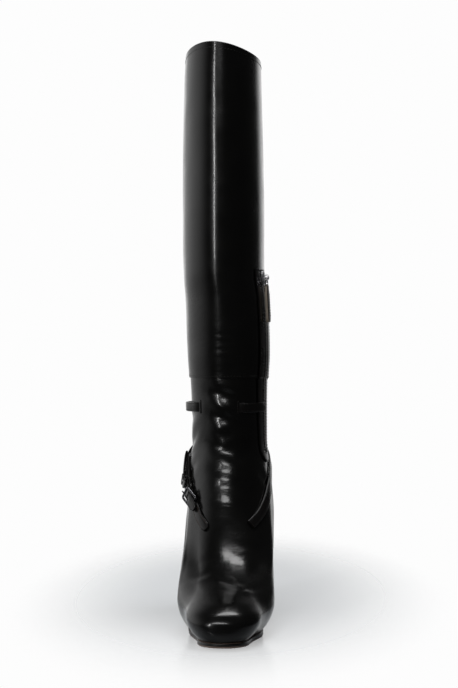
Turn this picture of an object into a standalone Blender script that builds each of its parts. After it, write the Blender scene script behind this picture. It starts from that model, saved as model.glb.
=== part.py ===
"""A tall right boot in black leather, on a stacked block heel.

Units are metres, +Z is up, the toe points to -Y and the inner (medial) side is +X.
The upper is one lofted wall. Its skin is a function of two places: `level`, which
counts the rows of the section tables from the sole's edge to the collar, and
`turn`, which goes once round the boot from the front over the inner side.
"""

import functools
from math import acos, cos, pi, sin, tau

import bmesh
import bpy
from mathutils import Matrix, Vector

# Foot
FOOT_LENGTH = 0.252
BALL_WIDTH = 0.086
HEEL_CUP_WIDTH = 0.062
SEAT_HEIGHT = 0.082
ANKLE_HEIGHT = 0.166
ANKLE_WIDTH = 0.070
ANKLE_DEPTH = 0.092
ANKLE_AHEAD = 0.533

# Shaft
TOP_HEIGHT = 0.529
FRONT_CROWN = 0.010
CROWN_TURN = 0.070
CROWN_POWER = 3
CROWN_BELOW = 0.6
SHAFT_WIDTH = 0.0775
SHAFT_DEPTH = 0.137
WALL = 0.0022
LAP_STEP = 0.0012

# Sole and heel
OUTSOLE_THICKNESS = 0.004
SOLE_EDGE = 0.0016
INSOLE_THICKNESS = 0.0024
HEEL_LENGTH = 0.052
HEEL_WIDTH = 0.056
HEEL_TAPER = 0.88
HEEL_PITCH = 0.004
HEEL_INSET = 0.0010
HEEL_GAP = 0.0008
HEEL_POINTS = 28
TOP_LIFT_THICKNESS = 0.006

# Straps
STRAP_THICKNESS = 0.0018
ANKLE_STRAP_WIDTH = 0.009
ANKLE_STRAP_HEIGHT = 0.199
HARNESS_WIDTH = 0.0088
HARNESS_STEP = 0.005
ANKLE_STRAP_STEP = 0.0062
ANKLE_TIP_STEP = 0.0045
DOUBLING_THICKNESS = 0.0016
KEEPER_THICKNESS = 0.0009
KEEPER_WIDTH = 0.005
KEEPER_SLACK = 0.0012
TIP_REACH = 0.55
TIP_BLUNT = 0.42

# Buckle
BUCKLE_WIRE = 0.0011
BUCKLE_WIDTH = 0.0150
BUCKLE_SLACK = 0.0007
BUCKLE_CORNER = 0.0022
PRONG_WIRE = 0.0007
PRONG_OVERHANG = 0.0016

# Zip
ZIP_TOP = 0.316
ZIP_BOTTOM = 0.158
CHAIN_WIDTH = 0.0056
CHAIN_THICKNESS = 0.0012
FACING_WIDTH = 0.0092
FACING_THICKNESS = 0.0009
ZIP_STEP = 0.0068
FACING_STEP = 0.0060
ZIP_LIFT = 0.0005
SLIDER_LENGTH = 0.0130
SLIDER_WIDTH = 0.0084
SLIDER_THICKNESS = 0.0024
SLIDER_NOSE = 0.68
SLIDER_ROUNDING = 0.0009
SLIDER_PLACE = 0.35
BRIDGE_WIRE = 0.0008
BRIDGE_SPREAD = 0.0004
BRIDGE_SUNK = 0.0020
LINK_WIRE = 0.0007
LINK_LENGTH = 0.0085
LINK_WIDTH = 0.0052
LINK_CORNER = 0.0012
LINK_RISE = 0.0009
PULL_LENGTH = 0.033
PULL_WIDTH = 0.0075
PULL_THICKNESS = 0.0028
PULL_SLANT = 0.045

CLEARANCE = 0.0003
POINTS_ROUND = 48
SHARP_ANGLE = 0.7
WIRE_SHARP_ANGLE = 0.9
WELD = 0.00001

# How much closer the points round a section are at its front and back; 0 is even.
EVENNESS = 0.10

# The foot's sections, from the sole's edge up to the ankle. front and back are shares
# of the foot's length ahead of and behind the ankle's axis. rise is a share of the
# ankle's height. lift goes from the seat (0) to the ankle (1). heel is a half width in
# shares of the heel cup; waist, ball and toe are half widths in shares of the ball.
# round_back and round_front are the shares of the section's length that its round ends
# take, square is the front end's exponent, bow how much of the sole's curve is left,
# and ankle how far the section has become the ankle's. lean moves a section to the
# inner side, in shares of the ball.
FOOT_COLUMNS = ("front", "rise", "back", "lift", "heel", "waist", "ball", "toe",
                "round_back", "round_front", "square", "bow", "ankle", "lean")
FOOT_ROWS = (
    (0.762, 0.048, 0.200, 0.00, 0.435, 0.260, 0.372, 0.252, 0.125, 0.178, 2.5, 1.00, 0.00, 0.000),
    (0.771, 0.084, 0.214, 0.09, 0.484, 0.350, 0.435, 0.330, 0.130, 0.175, 2.5, 1.00, 0.00, 0.000),
    (0.769, 0.127, 0.219, 0.19, 0.500, 0.405, 0.483, 0.375, 0.135, 0.175, 2.5, 0.99, 0.00, 0.000),
    (0.754, 0.169, 0.219, 0.29, 0.500, 0.440, 0.506, 0.390, 0.140, 0.190, 2.3, 0.94, 0.00, 0.000),
    (0.717, 0.208, 0.214, 0.38, 0.500, 0.462, 0.500, 0.380, 0.150, 0.280, 2.1, 0.80, 0.00, 0.002),
    (0.646, 0.244, 0.206, 0.47, 0.500, 0.476, 0.488, 0.365, 0.170, 0.370, 2.0, 0.59, 0.02, 0.006),
    (0.546, 0.290, 0.198, 0.56, 0.500, 0.486, 0.480, 0.362, 0.190, 0.380, 2.0, 0.42, 0.05, 0.012),
    (0.442, 0.368, 0.189, 0.66, 0.506, 0.486, 0.473, 0.378, 0.230, 0.340, 2.0, 0.36, 0.12, 0.017),
    (0.350, 0.494, 0.182, 0.76, 0.520, 0.480, 0.468, 0.400, 0.290, 0.350, 2.0, 0.30, 0.22, 0.018),
    (0.279, 0.657, 0.176, 0.86, 0.535, 0.470, 0.458, 0.410, 0.360, 0.400, 2.0, 0.22, 0.40, 0.012),
    (0.229, 0.838, 0.173, 0.94, 0.550, 0.458, 0.452, 0.430, 0.430, 0.460, 2.0, 0.12, 0.70, 0.004),
)

# The shaft's sections, from the ankle to the collar: height from the ankle (0) to the
# collar (1), front, back and half width in shares of the shaft's depth and width, and
# how far the middle leans to the outer side, in shares of the width.
SHAFT_COLUMNS = ("height", "front", "back", "width", "lean")
SHAFT_ROWS = (
    (0.100, 0.361, 0.343, 0.458, 0.004),
    (0.165, 0.372, 0.380, 0.471, 0.008),
    (0.230, 0.387, 0.416, 0.491, 0.010),
    (0.300, 0.401, 0.453, 0.497, 0.018),
    (0.370, 0.416, 0.482, 0.493, 0.032),
    (0.440, 0.427, 0.504, 0.488, 0.062),
    (0.520, 0.438, 0.526, 0.492, 0.068),
    (0.620, 0.449, 0.547, 0.495, 0.070),
    (0.730, 0.453, 0.551, 0.489, 0.073),
    (0.840, 0.449, 0.540, 0.478, 0.076),
    (0.935, 0.442, 0.518, 0.465, 0.075),
    (1.000, 0.438, 0.504, 0.455, 0.071),
)
SEAM_ROW = 2

# How many of the lowest sections have a half step between them.
FINE_LEVELS = 10

# The underside of the last, from the back of the heel (0) to the toe (1), as a share
# of the seat's height over the tread.
SOLE_COLUMNS = ("along", "height")
SOLE_ROWS = (
    (0.00, 1.000),
    (0.10, 0.985),
    (0.20, 0.930),
    (0.30, 0.800),
    (0.40, 0.605),
    (0.50, 0.370),
    (0.58, 0.185),
    (0.66, 0.055),
    (0.72, 0.000),
    (0.84, 0.000),
    (1.00, 0.032),
)

# Where the half widths apply along a section, on the inner and on the outer side.
WIDTH_PLACES = {
    +1: (0.00, 0.18, 0.42, 0.70, 0.88, 1.00),
    -1: (0.00, 0.18, 0.44, 0.66, 0.86, 1.00),
}

# How far the foot's middle lies to the inner side at the heel, and what the toe adds.
FOOT_LEAN = 0.0010
TOE_SWING = -0.0004

# The harness strap seen from the side: along is a share of the foot's length behind
# the ankle's axis, up a share of the ankle's height, lift how far it stands off.
HARNESS_COLUMNS = ("side", "along", "up", "lift")
HARNESS_ROWS = (
    (+1, -0.292, 0.555, 0.0000),
    (+1, -0.230, 0.610, 0.0000),
    (+1, -0.125, 0.735, 0.0000),
    (+1, 0.000, 0.870, 0.0002),
    (+1, 0.100, 0.960, 0.0005),
    (+1, 0.150, 0.995, 0.0006),
    (+1, 0.260, 1.010, 0.0008),
    (-1, 0.150, 0.999, 0.0010),
    (-1, 0.110, 0.975, 0.0014),
    (-1, 0.050, 0.925, 0.0022),
    (-1, -0.020, 0.860, 0.0028),
    (-1, -0.090, 0.780, 0.0030),
    (-1, -0.150, 0.710, 0.0030),
    (-1, -0.192, 0.662, 0.0040),
    (-1, -0.226, 0.622, 0.0034),
)
BUCKLE_UPPER = (-0.150, 0.710)
BUCKLE_LOWER = (-0.192, 0.662)
DOUBLING_START = (0.030, 0.908)
DOUBLING_END = (-0.125, 0.740)
KEEPER_SPOT = (-0.095, 0.772)
BILLET_ROWS = (
    (-1, -0.210, 0.640, 0.0003),
    (-1, -0.240, 0.600, 0.0003),
    (-1, -0.276, 0.562, 0.0001),
    (-1, -0.304, 0.532, 0.0000),
)

# The ankle strap: turn from the front round the boot, and how far it stands off.
ANKLE_STRAP_ROWS = (
    (0.868, 0.0004),
    (0.830, 0.0018),
    (0.780, 0.0034),
    (0.730, 0.0036),
    (0.670, 0.0022),
    (0.590, 0.0010),
    (0.500, 0.0006),
    (0.400, 0.0005),
    (0.310, 0.0003),
)
ANKLE_TIP_ROWS = (
    (0.052, 0.0004),
    (0.100, 0.0008),
    (0.132, 0.0018),
    (0.160, 0.0020),
    (0.178, 0.0020),
)

# The zip's line on the inner side: along in shares of the shaft's depth.
ZIP_TOP_ALONG = -0.175
ZIP_BOTTOM_ALONG = -0.125

# The pull's tab from its top (0) to its tip (1), and its width as a share.
TAB_ROWS = (
    (0.00, 0.62),
    (0.12, 0.92),
    (0.50, 1.00),
    (0.85, 1.00),
    (0.96, 0.80),
    (1.00, 0.45),
)

# The sole's edge from its top to its underside: how far it is drawn in, and the depth
# as a share of the sole's thickness.
SOLE_EDGE_ROWS = (
    (0.0003, 0.00),
    (0.0000, 0.15),
    (0.0000, 0.75),
    (0.0008, 1.00),
)

# The heel's plan: shares of its length that the round back and the breast's corners
# take, with the exponents of their curves.
HEEL_BACK_ROUND = (0.52, 2.2)
HEEL_BREAST_ROUND = (0.07, 2.0)

BLACK_CALF = ("black calf leather", (0.011, 0.011, 0.012), 0.22, 0.0)
STRAP_LEATHER = ("black strap leather", (0.012, 0.012, 0.012), 0.30, 0.0)
SOLE_LEATHER = ("dark sole leather", (0.020, 0.016, 0.014), 0.45, 0.0)
HEEL_STACK = ("black heel stack", (0.013, 0.012, 0.011), 0.35, 0.0)
LIFT_RUBBER = ("black rubber", (0.018, 0.018, 0.018), 0.75, 0.0)
LINING = ("tan leather", (0.42, 0.27, 0.16), 0.60, 0.0)
CHROME = ("chrome", (0.80, 0.80, 0.81), 0.12, 1.0)
ZIP_METAL = ("dark nickel", (0.25, 0.25, 0.26), 0.28, 1.0)


def column(rows, names, name):
    """One column of a table."""
    place = names.index(name)
    return [row[place] for row in rows]


def slopes(places, values):
    """Slopes of a cubic through the values that never overshoots them."""
    steps = [b - a for a, b in zip(places, places[1:])]
    rates = [(b - a) / step for a, b, step in zip(values, values[1:], steps)]
    found = [rates[0]]
    for before, after in zip(rates, rates[1:]):
        if before * after <= 0.0:
            found.append(0.0)
        else:
            found.append(2.0 * before * after / (before + after))
    found.append(rates[-1])
    return found


@functools.lru_cache(maxsize=None)
def cubic(places, values):
    """The slopes that belong to one set of values, worked out once."""
    return slopes(places, values)


def smooth(places, values, at):
    """Read a smooth curve through the values at one place."""
    tangents = cubic(places, values)
    at = min(max(at, places[0]), places[-1])
    index = 0
    while index < len(places) - 2 and at > places[index + 1]:
        index += 1
    step = places[index + 1] - places[index]
    t = (at - places[index]) / step
    start = (1.0 + 2.0 * t) * (1.0 - t) ** 2 * values[index]
    end = t * t * (3.0 - 2.0 * t) * values[index + 1]
    leave = t * (1.0 - t) ** 2 * tangents[index] * step
    arrive = t * t * (t - 1.0) * tangents[index + 1] * step
    return start + end + leave + arrive


def mix(a, b, share):
    """The value a share of the way from a to b."""
    return a + (b - a) * share


SOLE_PLACES = tuple(column(SOLE_ROWS, SOLE_COLUMNS, "along"))
SOLE_SHARES = tuple(column(SOLE_ROWS, SOLE_COLUMNS, "height"))


def last_height(along):
    """Height of the last's underside, from heel (0) to toe (1)."""
    share = smooth(SOLE_PLACES, SOLE_SHARES, along)
    return OUTSOLE_THICKNESS + CLEARANCE + share * (SEAT_HEIGHT - OUTSOLE_THICKNESS)


def foot_sections():
    """The foot table turned into lengths."""
    sections = []
    for row in FOOT_ROWS:
        share = dict(zip(FOOT_COLUMNS, row))
        ankle = share["ankle"]
        half_ankle = ANKLE_WIDTH / 2.0
        section = {
            "front_y": -share["front"] * FOOT_LENGTH,
            "front_z": share["rise"] * ANKLE_HEIGHT,
            "back_y": share["back"] * FOOT_LENGTH,
            "back_z": mix(SEAT_HEIGHT, ANKLE_HEIGHT, share["lift"]),
            "heel": mix(share["heel"] * HEEL_CUP_WIDTH, half_ankle, ankle),
            "round_back": share["round_back"],
            "round_front": share["round_front"],
            "square": share["square"],
            "bow": share["bow"],
            "middle": FOOT_LEAN * (1.0 - ankle) + share["lean"] * BALL_WIDTH,
            "swing": TOE_SWING * (1.0 - ankle),
            "crown": 0.0,
        }
        for name in ("waist", "ball", "toe"):
            section[name] = mix(share[name] * BALL_WIDTH, half_ankle, ankle)
        sections.append(section)
    sections[0]["front_z"] = last_height(1.0)
    sections[0]["back_z"] = last_height(0.0)
    return sections


def plain_section(front, back, height, half_width, middle):
    """A level, oval section of the ankle or the shaft."""
    return {
        "front_y": front, "front_z": height, "back_y": back, "back_z": height,
        "heel": half_width, "waist": half_width, "ball": half_width, "toe": half_width,
        "round_back": 0.5, "round_front": 0.5, "square": 2.0, "bow": 0.0,
        "middle": middle, "swing": 0.0, "crown": 0.0,
    }


def shaft_sections():
    """The ankle's section and the shaft table turned into lengths."""
    ankle_front = -ANKLE_AHEAD * ANKLE_DEPTH
    sections = [plain_section(ankle_front, ankle_front + ANKLE_DEPTH, ANKLE_HEIGHT,
                              ANKLE_WIDTH / 2.0, 0.0)]
    for row in SHAFT_ROWS:
        share = dict(zip(SHAFT_COLUMNS, row))
        sections.append(plain_section(
            -share["front"] * SHAFT_DEPTH,
            share["back"] * SHAFT_DEPTH,
            mix(ANKLE_HEIGHT, TOP_HEIGHT, share["height"]),
            share["width"] * SHAFT_WIDTH,
            -share["lean"] * SHAFT_WIDTH,
        ))
    sections[-1]["crown"] = FRONT_CROWN
    sections[-2]["crown"] = FRONT_CROWN * CROWN_BELOW
    return sections


SECTIONS = foot_sections() + shaft_sections()
LEVELS = tuple(float(index) for index in range(len(SECTIONS)))
SECTION_VALUES = {name: tuple(section[name] for section in SECTIONS)
                  for name in SECTIONS[0]}
TOP_LEVEL = LEVELS[-1]
ANKLE_LEVEL = float(len(FOOT_ROWS))
SEAM_LEVEL = ANKLE_LEVEL + SEAM_ROW


@functools.lru_cache(maxsize=None)
def section_at(level):
    """All sizes of the section at one level."""
    return {name: smooth(LEVELS, values, level) for name, values in SECTION_VALUES.items()}


def round_end(distance, length, exponent):
    """How far a round end has opened at a distance from its tip."""
    if distance >= length:
        return 1.0
    gone = max(1.0 - distance / length, 0.0)
    return max(1.0 - gone ** exponent, 0.0) ** (1.0 / exponent)


def section_height(section, along):
    """Height of a section's line at a place from its back (0) to its front (1)."""
    straight = mix(section["back_z"], section["front_z"], along)
    chord = mix(last_height(0.0), last_height(1.0), along)
    return straight + section["bow"] * (last_height(along) - chord)


def form_point(level, turn):
    """A point of the smooth form of the boot, before seams and steps."""
    section = section_at(level)
    angle = tau * turn
    along = (1.0 + cos(angle)) / 2.0
    side = 1 if sin(angle) >= 0.0 else -1
    widths = (section["heel"], section["heel"], section["waist"], section["ball"],
              section["toe"], section["toe"])
    half = smooth(WIDTH_PLACES[side], widths, along)
    half *= round_end(along, section["round_back"], 2.0)
    half *= round_end(1.0 - along, section["round_front"], section["square"])
    x = section["middle"] + section["swing"] * along + side * half
    y = mix(section["back_y"], section["front_y"], along)
    peak = (1.0 + cos(angle + tau * CROWN_TURN)) / 2.0
    crown = section["crown"] * peak ** CROWN_POWER
    return Vector((x, y, section_height(section, along) + crown))


def form_frame(level, turn):
    """A point of the form with its outward normal and its two directions."""
    small = 0.01
    low = max(level - small, 0.0)
    high = min(level + small, TOP_LEVEL)
    upward = (form_point(high, turn) - form_point(low, turn)) / (high - low)
    spread = 0.002
    ahead = form_point(level, turn + spread) - form_point(level, turn - spread)
    onward = ahead / (2.0 * spread)
    normal = onward.cross(upward).normalized()
    return form_point(level, turn), normal, upward, onward


def skin(level, turn, out=0.0):
    """A point of the upper's outside, or one that stands off it by a distance."""
    point, normal, _, _ = form_frame(level, turn)
    if level > SEAM_LEVEL:
        out += LAP_STEP
    return point + normal * out


def locate(side, y, z):
    """The level and turn of the point of one side that has this y and z."""
    low = 0.0
    high = TOP_LEVEL
    for _ in range(40):
        level = (low + high) / 2.0
        section = section_at(round(level, 9))
        along = (y - section["back_y"]) / (section["front_y"] - section["back_y"])
        along = min(max(along, 0.0), 1.0)
        if section_height(section, along) > z:
            high = level
        else:
            low = level
    turn = acos(2.0 * along - 1.0) / tau
    return level, (turn if side > 0 else 1.0 - turn)


def material(finish):
    """A plain material with the finish's colour, roughness and metal value."""
    name, colour, roughness, metal = finish
    made = bpy.data.materials.get(name)
    if made is None:
        made = bpy.data.materials.new(name)
        made.use_nodes = True
        shader = made.node_tree.nodes["Principled BSDF"]
        shader.inputs["Base Color"].default_value = (*colour, 1.0)
        shader.inputs["Roughness"].default_value = roughness
        shader.inputs["Metallic"].default_value = metal
    return made


def clear_scene():
    """Remove what a new file holds."""
    for thing in list(bpy.data.objects):
        bpy.data.objects.remove(thing, do_unlink=True)


def collection(name):
    """A collection in the scene."""
    made = bpy.data.collections.new(name)
    bpy.context.scene.collection.children.link(made)
    return made


def add_mesh(name, points, faces, finish, place):
    """A mesh object from points and faces, shaded smooth with sharp edges kept."""
    mesh = bpy.data.meshes.new(name)
    mesh.from_pydata([tuple(point) for point in points], [], faces)
    mesh.update()
    thing = bpy.data.objects.new(name, mesh)
    mesh.materials.append(material(finish))
    mesh.shade_smooth()
    mesh.set_sharp_from_angle(angle=SHARP_ANGLE)
    place.objects.link(thing)
    return thing


def solidify(thing, thickness, offset):
    """Give an open sheet its thickness."""
    shell = thing.modifiers.new("thickness", "SOLIDIFY")
    shell.thickness = thickness
    shell.offset = offset
    shell.use_even_offset = False
    return shell


def face_outward(thing):
    """Turn a closed mesh's faces outward."""
    work = bmesh.new()
    work.from_mesh(thing.data)
    bmesh.ops.recalc_face_normals(work, faces=work.faces)
    work.to_mesh(thing.data)
    work.free()


def loop_faces(loops, count, closed=True):
    """Quads between neighbouring loops of points."""
    faces = []
    last = count if closed else count - 1
    for row in range(loops - 1):
        for k in range(last):
            a = row * count + k
            b = row * count + (k + 1) % count
            faces.append((a, b, b + count, a + count))
    return faces


def round_turn(index):
    """The turn of one of the points round a section, a little closer at the sides."""
    angle = tau * index / POINTS_ROUND
    return (angle + EVENNESS * sin(2.0 * angle)) / tau


def upper_levels():
    """The levels that the upper's mesh has a ring at."""
    levels = [0.0, 0.4, 1.0]
    levels += [index / 2.0 for index in range(3, 2 * FINE_LEVELS + 1)]
    levels += [float(index) for index in range(FINE_LEVELS + 1, int(ANKLE_LEVEL) + 2)]
    levels += [SEAM_LEVEL - 0.02, SEAM_LEVEL + 0.02]
    levels += [float(index) for index in range(int(SEAM_LEVEL) + 1, int(TOP_LEVEL) + 1)]
    return levels


def build_upper(place):
    """The hollow leather wall of foot and shaft, open at the collar and underneath."""
    levels = upper_levels()
    points = []
    for level in levels:
        for k in range(POINTS_ROUND):
            points.append(skin(level, round_turn(k)))
    faces = loop_faces(len(levels), POINTS_ROUND)
    upper = add_mesh("upper", points, faces, BLACK_CALF, place)
    solidify(upper, WALL, -1.0)
    return upper


def sole_outline(margin):
    """The sole's edge: the upper's lowest section, moved outward in the plan."""
    section = section_at(0.0)
    outline = []
    for k in range(POINTS_ROUND):
        point, normal, _, _ = form_frame(0.0, round_turn(k))
        flat = Vector((normal.x, normal.y, 0.0)).normalized()
        moved = point + flat * margin
        along = (moved.y - section["back_y"]) / (section["front_y"] - section["back_y"])
        moved.z = last_height(min(max(along, 0.0), 1.0))
        outline.append(moved)
    return outline


def plate(name, loops, finish, place):
    """A plate from loops of points, top to bottom, closed across from side to side."""
    count = len(loops[0])
    points = [point for loop in loops for point in loop]
    faces = loop_faces(len(loops), count)
    base = (len(loops) - 1) * count
    half = count // 2
    for start in (0, base):
        for k in range(half):
            a, b = start + k, start + k + 1
            c, d = start + (count - k - 1) % count, start + (count - k) % count
            corners = [a, b, c, d]
            unique = [corner for i, corner in enumerate(corners) if corner not in corners[:i]]
            if len(unique) > 2:
                faces.append(tuple(unique))
    made = add_mesh(name, points, faces, finish, place)
    face_outward(made)
    return made


def lowered(outline, drop):
    """A copy of an outline, moved down."""
    return [point - Vector((0.0, 0.0, drop)) for point in outline]


def build_outsole(place):
    """The thin leather sole with its shank and heel seat."""
    loops = [lowered(sole_outline(SOLE_EDGE - inset), CLEARANCE + depth * OUTSOLE_THICKNESS)
             for inset, depth in SOLE_EDGE_ROWS]
    return plate("outsole", loops, SOLE_LEATHER, place)


def build_insole(place):
    """The insole, inside the upper's lower edge."""
    outline = sole_outline(-(WALL + CLEARANCE * 2.0))
    loops = [lowered(outline, -INSOLE_THICKNESS), outline]
    return plate("insole", loops, LINING, place)


def heel_outline(share, back_y, length):
    """A heel's D outline: a round back and a nearly straight breast."""
    half = HEEL_WIDTH / 2.0 * share
    outline = []
    for k in range(HEEL_POINTS):
        angle = tau * k / HEEL_POINTS
        along = (1.0 - cos(angle)) / 2.0
        width = half * round_end(along, *HEEL_BACK_ROUND)
        width *= round_end(1.0 - along, *HEEL_BREAST_ROUND)
        side = 1.0 if sin(angle) >= 0.0 else -1.0
        outline.append(Vector((side * width, back_y - along * length, 0.0)))
    return outline


def seat_height_at(y):
    """Height of the heel's top face, under the outsole."""
    section = section_at(0.0)
    along = (y - section["back_y"]) / (section["front_y"] - section["back_y"])
    return last_height(min(max(along, 0.0), 1.0)) - OUTSOLE_THICKNESS - HEEL_GAP


def build_heel(place):
    """The stacked block heel, lofted from the seat down to the top lift."""
    back = section_at(0.0)["back_y"] + SOLE_EDGE - HEEL_INSET
    floor = TOP_LIFT_THICKNESS + CLEARANCE
    loops = []
    for depth in (0.0, 0.12, 0.30, 0.55, 0.80, 1.0):
        share = mix(1.0, HEEL_TAPER, depth)
        outline = heel_outline(share, back - HEEL_PITCH * depth, HEEL_LENGTH * share)
        loops.append([Vector((p.x, p.y, mix(seat_height_at(p.y), floor, depth)))
                      for p in outline])
    return plate("heel", loops, HEEL_STACK, place)


def build_top_lift(place):
    """The wearing piece under the heel."""
    back = section_at(0.0)["back_y"] + SOLE_EDGE - HEEL_INSET
    outline = heel_outline(HEEL_TAPER, back - HEEL_PITCH, HEEL_LENGTH * HEEL_TAPER)
    loops = [[Vector((p.x, p.y, TOP_LIFT_THICKNESS)) for p in outline],
             [Vector((p.x, p.y, 0.0)) for p in outline]]
    return plate("top_lift", loops, LIFT_RUBBER, place)


def trace(rows, spacing):
    """Places along a route on the skin, evenly spaced: level, turn and stand-off."""
    places = tuple(float(index) for index in range(len(rows)))
    columns = list(zip(*rows))
    dense = []
    steps = 24 * (len(rows) - 1)
    for index in range(steps + 1):
        at = index * places[-1] / steps
        dense.append(tuple(smooth(places, tuple(values), at) for values in columns))
    spots = [skin(level, turn, lift) for level, turn, lift in dense]
    run = [0.0]
    for a, b in zip(spots, spots[1:]):
        run.append(run[-1] + (b - a).length)
    count = max(int(round(run[-1] / spacing)), 3)
    chosen = []
    index = 0
    for k in range(count + 1):
        goal = run[-1] * k / count
        while index < len(run) - 2 and run[index + 1] < goal:
            index += 1
        share = (goal - run[index]) / max(run[index + 1] - run[index], 1e-9)
        chosen.append(tuple(mix(a, b, share) for a, b in zip(dense[index], dense[index + 1])))
    return chosen


def route_frame(route, index):
    """The frame of a strap at one of its places: point, along, across and outward."""
    level, turn, lift = route[index]
    before = route[max(index - 1, 0)]
    after = route[min(index + 1, len(route) - 1)]
    along = (skin(after[0], after[1], after[2]) - skin(before[0], before[1], before[2]))
    along.normalize()
    _, normal, _, _ = form_frame(level, turn)
    normal = (normal - along * normal.dot(along)).normalized()
    across = normal.cross(along)
    return skin(level, turn, lift), along, across, normal


def beside(level, turn, direction, distance):
    """Move along the skin in a direction: the new level and turn."""
    _, _, upward, onward = form_frame(level, turn)
    step = direction * distance
    uu, uo, oo = upward.dot(upward), upward.dot(onward), onward.dot(onward)
    su, so = step.dot(upward), step.dot(onward)
    whole = uu * oo - uo * uo
    return level + (su * oo - so * uo) / whole, turn + (so * uu - su * uo) / whole


def route_length(route):
    """The length of a route over the skin."""
    spots = [skin(*place) for place in route]
    return sum((b - a).length for a, b in zip(spots, spots[1:]))


def strap(name, route, width, thickness, finish, place, tips=(), over=0.0):
    """A strap that follows the skin: a sheet along the route, with its thickness."""
    shares = (-1.0, -0.45, 0.45, 1.0)
    points = []
    step = route_length(route) / (len(route) - 1)
    for index in range(len(route)):
        level, turn, lift = route[index]
        _, _, across, _ = route_frame(route, index)
        narrow = 1.0
        if "start" in tips:
            narrow = min(narrow, tip_width(index * step, width))
        if "end" in tips:
            narrow = min(narrow, tip_width((len(route) - 1 - index) * step, width))
        for share in shares:
            at, round_to = beside(level, turn, across, share * narrow * width / 2.0)
            at = min(max(at, 0.0), TOP_LEVEL)
            points.append(skin(at, round_to, lift + CLEARANCE + over))
    faces = loop_faces(len(route), len(shares), closed=False)
    made = add_mesh(name, points, faces, finish, place)
    return finish_sheet(made, thickness)


def tip_width(distance, width):
    """The width share of a rounded strap end at a distance from its tip."""
    return max(round_end(distance, width * TIP_REACH, 2.0), TIP_BLUNT)


def finish_sheet(made, thickness):
    """Thicken a sheet outward, whichever way its faces run."""
    middle = made.data.polygons[len(made.data.polygons) // 2]
    level_normal = Vector(middle.normal)
    outward = Vector((middle.center.x, middle.center.y, 0.0))
    sign = 1.0 if level_normal.dot(outward) > 0.0 else -1.0
    if sign < 0.0:
        made.data.flip_normals()
    solidify(made, thickness, 1.0)
    return made


def harness_places(rows):
    """Rows of the harness tables as level, turn and stand-off."""
    found = []
    for row in rows:
        share = dict(zip(HARNESS_COLUMNS, row))
        level, turn = locate(share["side"], share["along"] * FOOT_LENGTH,
                             share["up"] * ANKLE_HEIGHT)
        found.append((level, turn, share["lift"]))
    return found


def harness_route():
    """The harness strap's route from its sewn end to its free tip, in fine steps."""
    return trace(harness_places(HARNESS_ROWS), HARNESS_STEP)


def route_index(route, along, up):
    """The index of the outer side's place on a route that lies nearest a side view spot."""
    target_y = along * FOOT_LENGTH
    target_z = up * ANKLE_HEIGHT
    best = 0
    nearest = 1.0
    for index, place in enumerate(route):
        spot = skin(*place)
        distance = abs(spot.y - target_y) + abs(spot.z - target_z)
        if place[1] > 0.5 and distance < nearest:
            best = index
            nearest = distance
    return best


def build_harness(place):
    """The strap round the back of the ankle and the doubled stretch over it."""
    route = harness_route()
    strap("harness_strap", route, HARNESS_WIDTH, STRAP_THICKNESS, STRAP_LEATHER, place,
          tips=("end",))
    first = route_index(route, *DOUBLING_START)
    last = route_index(route, *DOUBLING_END)
    strap("strap_doubling", route[first:last + 1], HARNESS_WIDTH, DOUBLING_THICKNESS,
          STRAP_LEATHER, place, over=STRAP_THICKNESS + CLEARANCE)


def build_keeper(place):
    """The loop that holds the strap and its doubling together."""
    route = harness_route()
    index = route_index(route, *KEEPER_SPOT)
    point, along, across, normal = route_frame(route, index)
    half = HARNESS_WIDTH / 2.0 + KEEPER_SLACK
    low = -KEEPER_SLACK
    high = STRAP_THICKNESS + DOUBLING_THICKNESS + CLEARANCE * 2.0 + KEEPER_SLACK
    points = []
    for step in (-0.5, 0.5):
        base = point + along * KEEPER_WIDTH * step
        for x, z in ((-half, low), (half, low), (half, high), (-half, high)):
            points.append(base + across * x + normal * z)
    faces = [(k, (k + 1) % 4, (k + 1) % 4 + 4, k + 4) for k in range(4)]
    made = add_mesh("keeper", points, faces, STRAP_LEATHER, place)
    shell = solidify(made, KEEPER_THICKNESS, 1.0)
    shell.use_even_offset = True
    return made


def build_billet(place):
    """The short strap from the outer vamp to the buckle."""
    route = trace(harness_places(BILLET_ROWS), HARNESS_STEP)
    return strap("billet", route, HARNESS_WIDTH, STRAP_THICKNESS, STRAP_LEATHER, place,
                 tips=("end",))


def wire(name, points, radius, finish, place, cyclic=False):
    """A round wire along a polyline, as a mesh with its caps welded."""
    data = bpy.data.curves.new(name, "CURVE")
    data.dimensions = "3D"
    data.bevel_depth = radius
    data.bevel_resolution = 2
    data.use_fill_caps = True
    line = data.splines.new("POLY")
    line.points.add(len(points) - 1)
    for target, point in zip(line.points, points):
        target.co = (*point, 1.0)
    line.use_cyclic_u = cyclic
    drawn = bpy.data.objects.new(name + "_line", data)
    place.objects.link(drawn)
    bpy.context.view_layer.update()
    graph = bpy.context.evaluated_depsgraph_get()
    mesh = bpy.data.meshes.new_from_object(drawn.evaluated_get(graph))
    mesh.name = name
    bpy.data.objects.remove(drawn, do_unlink=True)
    work = bmesh.new()
    work.from_mesh(mesh)
    bmesh.ops.remove_doubles(work, verts=work.verts, dist=WELD)
    bmesh.ops.recalc_face_normals(work, faces=work.faces)
    work.to_mesh(mesh)
    work.free()
    mesh.materials.clear()
    mesh.materials.append(material(finish))
    mesh.shade_smooth()
    mesh.set_sharp_from_angle(angle=WIRE_SHARP_ANGLE)
    made = bpy.data.objects.new(name, mesh)
    place.objects.link(made)
    return made


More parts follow.
